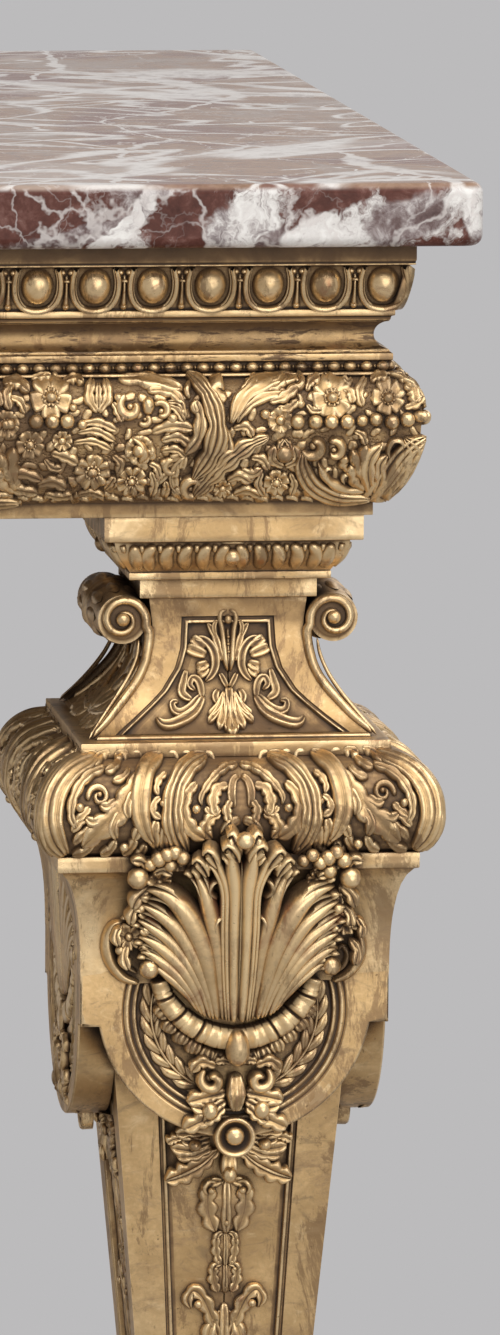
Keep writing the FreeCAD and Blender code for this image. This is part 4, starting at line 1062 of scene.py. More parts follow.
def loop_line(half, z):
    """Outline (x, z) of a figure, from its half width at each height z."""
    low, high = np.linspace(-half[0], half[0], 13), np.linspace(half[-1], -half[-1], 13)
    x = np.concatenate([low, half[1:-1], high, -half[1:-1][::-1]])
    return x, np.concatenate([np.full(13, z[0]), z[1:-1], np.full(13, z[-1]), z[1:-1][::-1]])


def panel_loop(inset, z_top, z_foot, half_at, depth, surf):
    """Closed outline of a panel, drawn in by inset and sunk by depth."""
    z = np.linspace(z_foot, z_top, 26)
    p, n = surf(*loop_line(np.maximum(half_at(z) - inset, 0.3), z))
    return p - n * depth


# the sunk panel of the front, and steps of its rim: inset, depth, how proud
PANEL_TOP, PANEL_FOOT = 665.0, 612.0
PANEL_STEPS = ((0, 0, .6), (0.4, .9, .3), (1.7, 1.0, .35), (2.1, .1, .9), (3.0, .1, .9),
               (3.5, 2.0, .2), (7, 2.2, .38), (12, 2.2, .30), (60, 2.2, .30))
VOLUTE_X, VOLUTE_Z, VOLUTE_R = 48.9, 664.0, 11.4
ROLL_FRONT, BELT_LEAVES = -40.4, 9
PLATE = [(INNER, 613.2), (62.2, 613.2), (63.0, 612.6), (63.0, 611.6), (71.3, 611.3),
         (71.3, Z_CUSHION), (INNER, Z_CUSHION)]


def capital_panel(surf):
    """Two borders beside the panel, one above it, and the sunk ground with its motif."""
    s = np.linspace(0, 1, 7)[:, None]
    z = np.linspace(PANEL_FOOT, PANEL_TOP, 30)[None, :]
    x = panel_half(z) + (block_half(z) - panel_half(z)) * s
    out = both(face_patch(surf, x, z + 0 * x, 0.6))
    s = np.linspace(-1, 1, 12)[:, None]
    z = np.linspace(PANEL_TOP, Z_BLOCK_TOP, 5)[None, :]
    out += face_patch(surf, block_half(z) * s, z + 0 * s, 0.6)
    loops = [panel_loop(i, PANEL_TOP - min(i, 20), PANEL_FOOT + min(i, 1.5), panel_half, d, surf)
             for i, d, _ in PANEL_STEPS]
    out += rings(loops, [k for _, _, k in PANEL_STEPS])
    return out + tone(capital_motif(Relief(lambda x, z: front_reach(x, z) - 2.0)), 0.5)


def volutes():
    """Rims that run down the sides and round into the volutes' eyes."""
    surf = Relief(lambda x, z: np.maximum(front_reach(x, z), 40.6) + 0.2)
    down = [(64.5, 613), (57.5, 619), (50.0, 627), (43.4, 635), (39.2, 643), (37.2, 651),
            (36.6, 658)]
    turn = spiral(VOLUTE_X, VOLUTE_Z, VOLUTE_R, 2.6, 196, -330, 34)
    out = both(scroll(surf, down + turn, [1.5, 2.1, 2.2, 1.9, 1.4], n=90))
    inner = [(66.5, 612.4), (59.8, 620), (52.6, 629), (46.6, 638), (42.6, 647), (41.2, 655)]
    out += both(scroll(surf, inner, [0.7, 0.9, 0.7], 1.2, m=5))
    for s in (-1, 1):
        out += round_ball(s * VOLUTE_X, -42.4, VOLUTE_Z + 0.3, 3.3, 3.0, 8, 14)
    return out


def about_roll(radius, turn, y):
    """Points round the axis of the right roll, and their directions outwards."""
    out = np.stack([radius * np.cos(turn), 0 * turn + 0 * radius, radius * np.sin(turn)], -1)
    return out + np.stack([VOLUTE_X + 0 * out[..., 0], y + 0 * out[..., 0],
                           VOLUTE_Z + 0 * out[..., 0]], -1), out


def roll():
    """Front half of the right roll: drum, end disc and a belt of leaves."""
    turn = np.linspace(0, TAU, 40)
    y = np.linspace(ROLL_FRONT, 0, 22)[:, None]
    swell = 11.2 + 1.7 * (1 - (y / ROLL_FRONT) ** 2) + 0.7 * np.exp(-((y + 4) / 2.2) ** 2)
    ring, outward = about_roll(swell, turn, y)
    out = facing(ring, 0.4, outward)
    radius = np.array([11.2, 9.0, 8.6, 3, 0.1])[:, None]
    disc, _ = about_roll(radius, turn, ROLL_FRONT - 0.3 * (radius < 9))
    out += facing(disc, 0.15)
    s = np.linspace(0, 1, 9)[:, None]
    u = np.linspace(-1, 1, 7)
    wide = 0.30 * np.sin(np.pi * np.clip(s * 0.85 + 0.12, 0, 1))
    radius = 12.2 + 1.6 * (1 - u ** 2) * np.sin(np.pi * np.clip(s + 0.15, 0, 1))
    for k in range(BELT_LEAVES):
        leaf, outward = about_roll(radius, TAU * k / BELT_LEAVES + wide * u, -8 - 26 * s)
        out += facing(leaf, 0.3 + 0.5 * (1 - u ** 2), outward)
    return out


def capital():
    surf = Relief(front_reach)
    # painted shade: darker at the top of the block under the abacus, and towards the foot
    face = tone_by_height(capital_panel(surf) + volutes(), [616, 624, 648, 664],
                          [0.6, 1.0, 0.8, 0.40])
    rolls = both(roll())
    # concave sides between the scrolls, with a leaf panel
    z = np.linspace(Z_BLOCK_FOOT, Z_BLOCK_TOP, 34)[None, :]
    y = np.linspace(-1, 1, 24)[:, None]
    flank = np.stack([block_half(z) + 0 * y, y * DEEP.reach(z), z + 0 * y], -1)
    sides = both(facing(flank, 0.35, (1.0, 0.0, 0.0)))
    out = face + turn_z(face, 180) + rolls + turn_z(rolls, 180) + sides
    out += turn_z(side_leaves(), 90) + turn_z(side_leaves(), 270)
    return out + four(edge_run(PLATE, 0, 0, 0.45, 12, 0.1))


def side_leaves():
    """Leafage down the concave side between the scrolls."""
    surf = Relief(lambda x, z: block_half(z) + 0 * x)
    out = []
    for s in (-1, 1):
        out += blade(surf, [(s * 33, 655), (s * 34, 640), (s * 42, 624), (s * 52, 614)],
                     [1.2, 1.2, 1.2], 1.8, 20, 5)
    out += acanthus(surf, [(0, 615), (0, 632), (0, 652)], [9, 12, 7])
    for s in (-1, 1):
        out += scroll(surf, [(s * 3, 618), (s * 14, 622), (s * 24, 632), (s * 22, 642),
                             (s * 15, 640), (s * 17, 634)], [1.8, 2.2, 1.6, 1.0], 2.4, 2, 1.6)
        out += acanthus(surf, [(s * 6, 616), (s * 20, 617), (s * 36, 620)], [4, 6, 4], 3, 2.0)
    return out


def capital_motif(surf):
    """Rimmed bud, lobed leaves and scrolls in the sunk panel."""
    def at(*pts):
        return about("capital", 231, *pts)

    def rimmed(pts, half, height=3.4, n=24, cup=0.62, lobes=0):
        return blade(surf, at(*pts), half, height, n, 11, lift=(0.75, 1.0, 0.95), cup=cup,
                     lobes=lobes, notch=0.25)

    half = []
    # calyx leaves beside the bud
    half += rimmed(((225, 664), (221, 648), (216, 634), (210, 625)), [1.0, 1.7, 1.9, 1.0], 3.6, 26,
                   0.4, 3)
    half += rimmed(((219, 640), (217, 630), (220, 622)), [0.8, 1.3, 0.8], 3.8, 16, 0.3)
    # C-shaped stem and its cupped lobes
    half += rimmed(((197, 641), (208, 643), (216, 653), (218, 666), (214, 677), (207, 684)),
                   [1.1, 1.8, 2.1, 2.0, 1.7, 1.1], 4.0, 36)
    for *pts, w in (((209, 652), (202, 646), (194, 640), 2.0), ((210, 658), (200, 654), (189, 650), 2.2),
                    ((212, 664), (205, 668), (198, 669), 2.0), ((211, 668), (206, 674), (200, 678), 1.8)):
        half += rimmed(pts, [w * 0.7, w * 1.25, w * 1.1], 3.6, 20, 0.6)
    # lower scrolls
    half += rimmed(((206, 697), (197, 710), (185, 718), (172, 723), (162, 723), (156, 717)),
                   [1.2, 2.1, 2.4, 2.0, 1.7, 1.1], 3.8, 40)
    half += rimmed(((203, 696), (192, 708), (182, 713), (175, 711), (174, 704), (181, 703)),
                   [1.0, 1.7, 1.9, 1.7, 1.4, 1.0], 3.6, 36)
    half += rimmed(((204, 700), (203, 689), (200, 682), (195, 680), (192, 687), (198, 693)),
                   [1.1, 1.7, 1.8, 1.6, 1.4, 0.9], 3.6, 32)
    half += rimmed(((189, 671), (186, 683), (184, 695), (194, 702)), [0.9, 1.8, 2.0, 1.1], 3.2, 24)
    # chevron and palmette at the foot
    half += rimmed(((230, 690), (226, 682), (222, 674)), [0.9, 1.3, 0.8], 3.4, 16)
    half += rimmed(((221, 690), (217, 698), (219, 706)), [0.8, 1.7, 0.9], 3.4, 16)
    for tip, w in (((209, 716), 1.7), ((208, 722), 1.6), ((218, 727), 2.0), ((226, 730), 1.8)):
        mid = ((226 + tip[0]) / 2 + 2, (698 + tip[1]) / 2)
        half += rimmed(((227, 692), mid, tip), [0.8, w, w], 3.2, 22, 0.5)
    out = both(half)
    outline = ((0, 612), (6.5, 615), (8, 622), (6, 632), (4.4, 648), (3.2, 662), (1.2, 674))
    for s in (-1, 1):
        out += rimmed([(231 + s * u, v) for u, v in outline], [1.2, 1.5, 1.4, 1.3, 1.5, 1.4, 0.8],
                      4.4, 44, 0)
    out += rimmed(((231, 630), (231, 650), (231, 668)), [0.7, 0.9, 0.6], 2.6, 20, 0)
    out += berry(surf, *at((231, 622))[0], 1.7, 2.2, 8, 12, 1.3)
    for v in (640, 647, 655):
        out += berry(surf, *at((231, v))[0], 0.8, 3.6, 6, 8)
    out += rimmed(((231, 688), (231, 702), (231, 718)), [1.9, 1.6, 0.6], 4.2, 26, 0.7)
    out += rimmed(((231, 716), (231, 724), (231, 733)), [1.0, 2.6, 2.2], 3.6, 16, 0.5)
    return out


# -------------------------------------------------------------- cushion
CUSHION = ([(40, Z_CUSHION), (70.8, Z_CUSHION)]
           + arc3((71.0, 604.2), (84.4, 596.2), (90.0, 581.0), 12)[1:]
           + arc3((90.0, 581.0), (87.8, 569.0), (80.6, 561.4), 9)[1:] + [(40, 561.3)])


def cushion():
    out = tone(four(edge_run(CUSHION, 0, 0, 0.3, 24)), 0.42)
    bed = Square(CUSHION[1:-1], corner=7)

    def at(*pts):
        return about("cushion", 243, *pts)

    def band(pts, w, height=4.0, ribs=3, n=60, depth=0.3, lobes=0, notch=0.2):
        return blade(bed, at(*pts), w, height, n, 19, ribs, lift=(0.6, 1.0, 1.08, 0.95),
                     rib_depth=depth, lobes=lobes, notch=notch)

    def jag(pts, w, height=3.6, n=40, lobes=4, notch=0.42):
        return blade(bed, at(*pts), [k * 1.22 for k in w], height, n, 13, 2, lift=(0.7, 1.0, 1.0),
                     rib_depth=0.18, lobes=lobes, notch=notch * 0.72, cup=0.12)

    def eye(u, v, r=1.8):
        return tone(berry(bed, *at((u, v))[0], r, 2.0, 8, 12, 1.1), 0.9)

    # middle: rimmed arch round a slot, with jagged leaves falling each side
    half = blade(bed, at((243, 777), (236, 782), (233, 794), (235, 808)), [1.2, 1.9, 1.9, 1.0],
                  3.6, 26, 11, 0, cup=0.6)
    half += blade(bed, at((243, 768), (228, 772), (213, 783), (202, 797), (203, 806)),
                  [1.3, 2.0, 2.3, 2.0, 1.0], 3.6, 44, 11, 2, lobes=5, notch=0.3)
    half += jag(((231, 786), (219, 790), (214, 803), (218, 816)), [1.2, 2.6, 2.8, 1.4])
    half += jag(((233, 800), (228, 808), (230, 822)), [1.2, 2.4, 1.4], 3.8, 26, 3)
    half += jag(((222, 812), (211, 818), (206, 828), (214, 836)), [1.4, 2.8, 2.8, 1.4])
    half += jag(((206, 806), (212, 812), (222, 808)), [1.0, 2.0, 1.2], 3.4, 24, 3)
    # great ribbed leaf, its inner edge rolled to an eye
    half += band(((214, 763), (194, 771), (179, 787), (173, 808), (176, 830), (190, 852)),
                 [2.0, 4.2, 5.2, 5.6, 5.4, 3.6], 4.6, 4, 70, 0.3, 5, 0.14)
    half += jag(((200, 784), (188, 796), (184, 812), (192, 827), (208, 836)),
                [1.4, 2.8, 3.4, 3.6, 2.4], 4.2, 50, 5, 0.34)
    half += eye(197, 808, 2.0)
    # second leaf, smooth, with two eyelets in its inner edge
    half += band(((170, 762), (152, 772), (143, 790), (141, 812), (147, 830), (156, 841)),
                 [1.8, 3.8, 5.0, 5.0, 3.8, 1.6], 4.4, 2, 60, 0.16)
    half += jag(((170, 776), (162, 782), (158, 790), (160, 797)), [1.0, 1.7, 1.6, 0.9], 3.6, 28, 3)
    half += jag(((163, 797), (156, 802), (154, 811), (163, 818)), [1.0, 1.9, 1.9, 1.2], 3.6, 28, 3)
    half += eye(164, 803, 1.5)
    half += jag(((148, 806), (141, 824), (134, 838)), [1.4, 2.6, 1.6], 4.2, 26, 3)
    half += jag(((158, 818), (155, 832), (158, 846)), [1.4, 3.0, 1.8], 3.8, 26, 2, 0.3)
    half += jag(((168, 822), (165, 836), (168, 848)), [1.4, 2.6, 1.6], 3.4, 26, 2, 0.3)
    # jagged leaf running down to the corner
    half += jag(((142, 776), (132, 792), (118, 812), (100, 828), (82, 844)),
                [2.0, 4.2, 5.2, 5.0, 2.4], 4.4, 80, 5, 0.36)
    for *pts, w in (((136, 792), (128, 806), (130, 818), 2.4), ((122, 810), (114, 824), (118, 836), 2.6),
                   ((118, 800), (108, 806), (100, 804), 2.2), ((104, 816), (94, 820), (86, 816), 2.2)):
        half += jag(pts, [w * 0.7, w, w * 0.6], 5.0, 24, 2, 0.3)
    # corner leaf: broad bands turning in to a spiral
    half += band(((106, 763), (76, 774), (58, 794), (53, 818), (58, 838), (70, 853)),
                 [2.4, 4.4, 5.2, 5.4, 5.2, 4.0], 4.4, 4, 80, 0.3)
    half += band(((110, 772), (90, 780), (76, 796), (72, 814), (78, 828)),
                 [1.4, 2.4, 2.8, 2.6, 1.6], 3.8, 2, 50, 0.3, 5, 0.26)
    wound = [at(p)[0] for p in spiral(101, 797, 12, 2.2, 160, 640, 24)]
    half += scroll(bed, wound, [1.5, 1.5, 1.2, 0.9], 3.6, 0, 1.5)
    half += eye(81, 807, 2.0)
    for pts in (((92, 816), (82, 820), (72, 830)), ((96, 824), (84, 832), (74, 842)),
                ((92, 806), (84, 814), (76, 820))):
        half += jag(pts, [1.2, 2.2, 1.4], 3.4, 20, 2)
    for pts in (((126, 766), (118, 772), (108, 776)), ((134, 772), (126, 780), (114, 784)),
                ((118, 760), (106, 764), (98, 772)), ((136, 762), (128, 762), (120, 766))):
        half += jag(pts, [0.9, 1.7, 1.1], 3.0, 18, 2)
    # low edge: rings and hanging leaf tips
    half += eye(126, 843, 2.2) + eye(186, 846, 1.8)
    for *pts, w in (((138, 836), (132, 846), (124, 852), 2.4), ((148, 842), (144, 850), (136, 856), 2.2),
                   ((118, 838), (112, 848), (102, 852), 2.2), ((96, 842), (86, 850), (74, 852), 2.0),
                   ((180, 838), (176, 848), (178, 856), 2.0), ((168, 846), (162, 852), (154, 856), 2.0)):
        half += jag(pts, [w * 0.6, w, w * 0.6], 3.4, 20, 2, 0.3)
    # high edge: small broken curls
    for x0 in (150, 186, 200, 222, 88):
        half += blade(bed, at((x0, 764), (x0 - 6, 760), (x0 - 13, 761)), [0.6, 1.3, 0.8], 2.2, 8, 5)
    # end of the shell's curl at the foot of the arch
    half += blade(bed, at((243, 818), (232, 822), (222, 834)), [2.0, 2.8, 1.6], 3.6, 12, 9, 3)
    return out + tone(four(both(half)), 0.94)


# ------------------------------------------------- shaft and its boards
CAP = [(40, Z_CAP), (83.3, Z_CAP), (83.3, 553.8), (81.2, 553.2), (78.2, 549.8), (76.0, 545.4),
       (74.4, 540.0), (73.3, 534.5), (72.5, 529.0), (71.95, 523.0), (71.62, 517.0), (71.45, 511.0),
       (71.36, 505.0), (71.1, 500.0), (40, 499.6)]


SUNK_TOP, SUNK_FOOT = 441.5, 182.0
SUNK_STEPS = ((0, 0, .80), (0.4, 1.2, .3), (1.6, 1.3, .35), (2.0, .3, .9), (3.0, .3, .9),
              (3.5, 2.9, .12), (5.5, 3.0, .35), (9, 3.0, .5), (60, 3.0, .55))


def sunk_half(z):
    """Half width of the shaft's sunk panel: its border widens upwards."""
    return taper(z) - (9 + 10 * (z - SUNK_FOOT) / (SUNK_TOP - SUNK_FOOT))


def shaft():
    out = four(edge_run(CAP, 0, 0, 0.5, 12, 0.1))
    face = shaft_face()
    z = np.linspace(Z_SHAFT, 481.0, 26)
    loops = [face(*loop_line(taper(z), z))[0]]
    for inset, depth, _ in SUNK_STEPS:
        end = min(inset, 20)
        loops.append(panel_loop(inset, SUNK_TOP - end, SUNK_FOOT + end, sunk_half, depth, face))
    return out + four(rings(loops, [0.24] + [k for _, _, k in SUNK_STEPS]))


# the front board: reach, underside of its ears, height of its round disc's centre
BOARD, EAR_FOOT, DISC_Z = 71.3, 480.2, 486.5
TONGUE_R, TONGUE_Z = 63.5, 491.0


def board_angles():
    """Directions from the disc's centre: even ones, and those of the board's corners."""
    corners = [math.atan2(z - DISC_Z, x) for x, z in
               ((BOARD, BOARD_TOP), (BOARD, EAR_FOOT), (62.6, EAR_FOOT))]
    return np.sort(np.concatenate([np.linspace(0, TAU, 96, endpoint=False),
                                   [a % TAU for a in corners],
                                   [(math.pi - a) % TAU for a in corners]]))


ANGLES = board_angles()


def board_loop(inset, depth):
    """Outline of the front board: square ears above a round tongue."""
    pts = []
    for a in ANGLES:
        d = np.array([math.cos(a), math.sin(a)])
        ears = (BOARD - inset) / abs(d[0])
        if d[1] > 0:
            ears = min(ears, (BOARD_TOP - DISC_Z) / d[1])
        elif DISC_Z + ears * d[1] < EAR_FOOT + inset:
            ears = (DISC_Z - EAR_FOOT - inset) / -d[1]
        o = np.array([0, TONGUE_Z - DISC_Z])
        b = d @ o
        tongue = b + math.sqrt(b * b - o @ o + (TONGUE_R - inset) ** 2)
        r = ears if DISC_Z + ears * d[1] > EAR_FOOT + inset - 1e-6 else 0
        r = max(r, tongue if d[1] < 0 else 0)
        pts.append((d[0] * r, -BOARD + depth, DISC_Z + d[1] * r))
    return np.array(pts)


def disc_loop(r, depth):
    return np.stack([r * np.cos(ANGLES), -BOARD + depth + 0 * ANGLES, DISC_Z + r * np.sin(ANGLES)], -1)


# outline of the board and rings of its disc: inset or radius, depth, how proud
BOARD_STEPS = ((0, 0.6, .9), (0.6, 0, .95), (3, 0, .6))
DISC_STEPS = ((52.4, 0, .6), (51.4, 0.9, .2), (50.2, 0.2, .9), (49.2, 0.2, .9), (48.4, 1.6, .2),
              (47.3, 1.7, .3), (46.6, 1.0, .85), (45.8, 1.0, .85), (45.0, 3.2, .12), (40, 3.4, .4),
              (25, 3.5, .4), (0.2, 3.5, .4))
STEM_R = 38.5


def on_disc(side, r, turn):
    return side * r * math.cos(turn), DISC_Z + r * math.sin(turn)


def lappets():
    back = board_loop(0, 18)
    back[:, 0] = np.clip(back[:, 0], -53.3, 53.3)
    loops = [back] + [board_loop(inset, depth) for inset, depth, _ in BOARD_STEPS]
    # the flat ring stays inside the outline where the two come close
    room = np.linalg.norm((loops[-1] - [0, 0, DISC_Z])[:, [0, 2]], axis=1) - 0.4
    loops.append(disc_loop(np.minimum(56, room), 0))
    loops += [disc_loop(r, depth) for r, depth, _ in DISC_STEPS]
    cavs = [0.3] + [k for _, _, k in BOARD_STEPS] + [0.6] + [k for _, _, k in DISC_STEPS]
    face = rings(loops, cavs)
    # laurel branch on each side of the disc
    bed = Plane(-67.9)
    for s in (-1, 1):
        for i in range(9):
            a = math.radians(258 - i * 11.5)
            b = a - math.radians(11)
            for side in (-1, 1):
                path = [on_disc(s, STEM_R, a), on_disc(s, STEM_R + 3.2 * side, b),
                        on_disc(s, STEM_R + 4.6 * side, b - 0.16)]
                face += blade(bed, path, [1.0, 2.3, 1.2], 2.6, 10, 7, 2, tip="point")
        stem = [on_disc(s, STEM_R, a) for a in np.radians(np.linspace(258, 160, 12))]
        face += blade(bed, stem, [0.8, 0.8, 0.6], 3.0, 30, 5)
    return four(face)


# ------------------------------------------------------------- palmette
def shell_reach(x, z):
    """The shell swells from its foot and leans out over the cushion."""
    t = np.clip((z - 478.0) / 92.0, 0, 1.15)
    return 76.0 + 13.0 * np.sin(t * 1.35) + 4.0 * t ** 3 - 0.0045 * x ** 2 * (0.4 + t)


# ground of the carving on the side faces
SIDE_BOARD, SIDE_SHAFT_HALF = 67.6, 24.0


def pleated(surf, points, half, height):
    """A swollen band gathered by cross folds: deep between its parts, fine within them."""
    n, m = 130, 13
    path, _, across = strip_lines(points, n)
    t = np.linspace(0, 1, n)[:, None]
    s = np.linspace(-1, 1, m)[None, :]
    deep = np.zeros((n, m))
    fine = np.zeros((n, m))
    for at in (0.015, 0.20, 0.41, 0.64, 0.99):
        deep = np.maximum(deep, np.exp(-((t - at - 0.008 * s) / 0.012) ** 2))
    for k, at in enumerate((0.08, 0.14, 0.27, 0.35, 0.48, 0.56, 0.73, 0.82, 0.90)):
        bend = 0.012 * math.sin(k * 2.3) * s + 0.010 * math.sin(k * 1.7 + 1) * s ** 2
        strong = (0.12 + 0.3 * abs(math.sin(k * 1.9))) * (0.3 + 0.7 * abs(s))
        fine = np.maximum(fine, strong * np.exp(-((t - at - bend) / 0.007) ** 2))
    ends = np.clip(t / 0.03, 0.05, 1)
    w = along(half, t) * (1 - 0.16 * deep - 0.10 * fine) * ends ** 0.5
    rise = height * np.sqrt(np.clip(1 - s ** 2, 0, 1)) ** 0.8
    rise = rise * (1 - 0.26 * deep - 0.12 * fine) * ends ** 0.5
    rise = rise * (0.9 + 0.1 * np.sin(t * 40))
    flat = path[:, None, :] + across[:, None, :] * (w * s)[..., None]
    point, normal = surf(flat[..., 0], flat[..., 1])
    edge = (abs(s) > 0.99) + 0 * rise
    point = point + normal * (rise - 2.0 * edge)[..., None]
    # above 1 on the swells: a painted sheen
    relief = 1.36 - 1.05 * deep - 0.75 * fine - 0.4 * abs(s) ** 6 - 0.6 * edge
    return facing(point, relief, normal)


def palmette():
    surf = Relief(shell_reach)

    def at(*pts):
        return about("palmette", 237, *pts)

    half = []
    # two fronds a side: long smooth ribs that swell, spread and curl at their tips
    ribs = (((223, 1022), (219, 985), (215, 945), (208, 908), (201, 882), (193, 866), 4.4, 6.4),
            ((218, 1021), (211, 985), (202, 946), (186, 910), (170, 892), (151, 886), 5.6, 8.4),
            ((214, 1020), (206, 988), (194, 956), (178, 926), (161, 910), (145, 902), 4.6, 7.8),
            ((211, 1019), (202, 990), (188, 962), (171, 938), (156, 926), (142, 918), 4.0, 7.2),
            ((206, 1017), (196, 990), (183, 966), (168, 949), (156, 940), (144, 935), 4.2, 7.4),
            ((203, 1015), (192, 992), (179, 974), (166, 961), (155, 953), (146, 950), 3.8, 6.8),
            ((199, 1012), (189, 995), (178, 982), (168, 973), (161, 967), (155, 965), 2.8, 6.0))
    for *path, w, up in ribs:
        (u, v), (u1, v1) = path[-1], path[-2]
        reach = math.hypot(u - u1, v - v1)
        du, dv = (u - u1) / reach, (v - v1) / reach
        half += blade(surf, at(*path, (u + du * 3 - 1, v + dv * 3 + 5)),
                      [w * 0.36, w * 0.60, w * 0.86, w, w * 1.02, w * 0.8, w * 0.4], up, 42, 11, 0,
                      lift=(0.55, 0.8, 0.95, 1.05, 1.15, 0.9), sink=3.0)
        # a finer rib on each shoulder, ending in leafy lips
        for side in (-1, 1):
            off = side * w * 1.15
            way = [(x - dv * off * k, y + du * off * k) for (x, y), k in
                   zip(path[1:], (0.5, 0.75, 0.9, 1.0, 1.15))]
            half += blade(surf, at(*way), [0.5, 0.9, 1.2, 1.3, 0.9], up * 0.93, 30, 7, 0,
                          lift=(0.7, 0.9, 1.05, 1.15), sink=3.0)
            tip = way[-1]
            half += blade(surf, at((tip[0] - du * 5, tip[1] - dv * 5), tip,
                                   (tip[0] + du * 3 - dv * side * 2, tip[1] + dv * 3 + du * side * 2),
                                   (tip[0] + du * 2 - dv * side * 4, tip[1] + dv * 2 + 3)),
                          [1.0, 1.7, 1.6, 0.9], up * 1.2, 12, 7, 0, lift=(0.8, 1.0, 0.9))
    # crumpled inner edge of the upper frond
    for u, v, long, turn in ((212, 884, 11, -5), (217, 922, 12, -4)):
        path = ((u + 3, v + long), (u + turn, v + long * 0.3), (u + turn * 0.6, v - long * 0.5),
                (u + 3, v - long))
        half += blade(surf, at(*path), [0.7, 1.3, 1.5, 0.8], 7.4, 18, 7, lift=(0.6, 1.0, 1.1), sink=3.0)
    # lifted: less painted shade where the ribs meet, and a painted sheen on the crests
    out = tone(both(half), 0.92, 0.30)
    # middle blade, carried up and over the cushion
    tall = []
    lean = Relief(lambda x, z: shell_reach(x, z) + 0.04 * np.clip(z - 545, 0, 60))
    for s in (-1, 1):
        for k, (off, w, top, end) in enumerate(((6.2, 3.0, 9, 836), (13.6, 1.5, 21, 842),
                                                (17.2, 1.3, 28, 852))):
            path = ((237 + s * off * 0.62, 1023), (237 + s * off * 0.86, 975),
                    (237 + s * off * 0.98, 925), (237 + s * (off + 0.2), 885),
                    (237 + s * (off + top * 0.30), 862), (237 + s * (off + top * 0.62), end + 4),
                    (237 + s * (off + top), end + 4 + 3 * k))
            tall += blade(lean, at(*path), [w * 0.8, w, w, w * 1.05, w * 1.15, w * 1.3, w * 0.8],
                         9.2 - 0.9 * k, 40, 11, 0, lift=(0.7, 0.9, 1.0, 1.1), sink=3.5)
            x, z = 237 + s * (off + top * 0.85), end + 2
            w = 3.4 - 0.4 * k
            tall += blade(lean, at((x - s * 9, z + 16), (x - s * 4, z + 5), (x + s * 1, z - 2),
                                  (x + s * 5, z + 3)), [1.0, w, w * 1.1, w * 0.6],
                         11.6 - 0.9 * k, 20, 11, 2, lift=(0.75, 0.9, 1.05, 0.95), rib_depth=0.3)
            tall += blade(lean, at((x - s * 1, z + 20), (x + s * 3, z + 11), (x + s * 8, z + 9)),
                         [0.8, 1.7, 1.0], 9.8 - 0.8 * k, 14, 9, 0, lift=(0.75, 1.0, 0.9))
    tall += blade(lean, at((237, 1020), (237, 960), (237, 900), (237, 852)), [0.35, 0.5, 0.6, 0.6], 8.6,
                 40, 5, 0, sink=3.5)
    tall += berry(lean, *at((237, 828))[0], 4.6, 2.6, 9, 12, 0.9)
    for s in (-1, 1):
        tall += blade(lean, at((237 + s * 3, 848), (237 + s * 8, 834), (237 + s * 12, 824),
                              (237 + s * 15, 829)), [1.6, 3.0, 3.0, 1.6], 11.6, 16, 9, 2)
    # lifted: the middle blade takes a painted sheen and little painted shade
    out += tone(tall, 0.9, 0.45)
    # collar: a crescent of pleated cloth under the blades, with its ball
    base = Relief(lambda x, z: 75.0 - 0.0015 * x ** 2 + 0 * z)
    path = at((159, 979), (168, 1003), (188, 1024), (211, 1036), (237, 1041))
    sides = pleated(base, path, [3.9, 4.9, 5.4, 5.7, 5.8], 9.4)
    # skirt of leaves under the collar
    for x0, y0, x1, y1 in ((168, 1012, 158, 1020), (176, 1024, 167, 1036), (187, 1034, 180, 1048),
                           (199, 1042, 193, 1058), (212, 1049, 207, 1066), (224, 1053, 221, 1070)):
        sides += blade(Plane(-70.5), at((x0, y0), ((x0 + x1) / 2 - 1, (y0 + y1) / 2), (x1, y1)),
                       [3.0, 4.2, 2.6], 5.6, 13, 13, 3, lift=(0.9, 1.0, 0.8))
    out += both(sides)
    x, z = at((237, 1047))[0]
    out += tone(round_ball(x, -81.5, z, 5.6, 7.5, 12, 18, tall=9.0, point_y=-0.12), 1, 0.2)
    return on_four_faces(out + garland(), 0.28)


def on_four_faces(patches, share):
    """The carving in full on front and back, and flattened to this share on the sides.

    The ground of the sides is the board above and the shaft below."""
    low = []
    for p, k in patches:
        q = p.copy()
        z = q[..., 2]
        below = taper(z, SIDE_SHAFT_HALF)
        upper = np.clip((z - 424) / 12, 0, 1)
        ground = np.where(z > 430, SIDE_BOARD, below) * upper + below * (1 - upper)
        q[..., 1] = -(ground + (-q[..., 1] - ground) * share)
        low.append((q, k))
    return patches + turn_z(patches, 180) + turn_z(low, 90) + turn_z(low, 270)


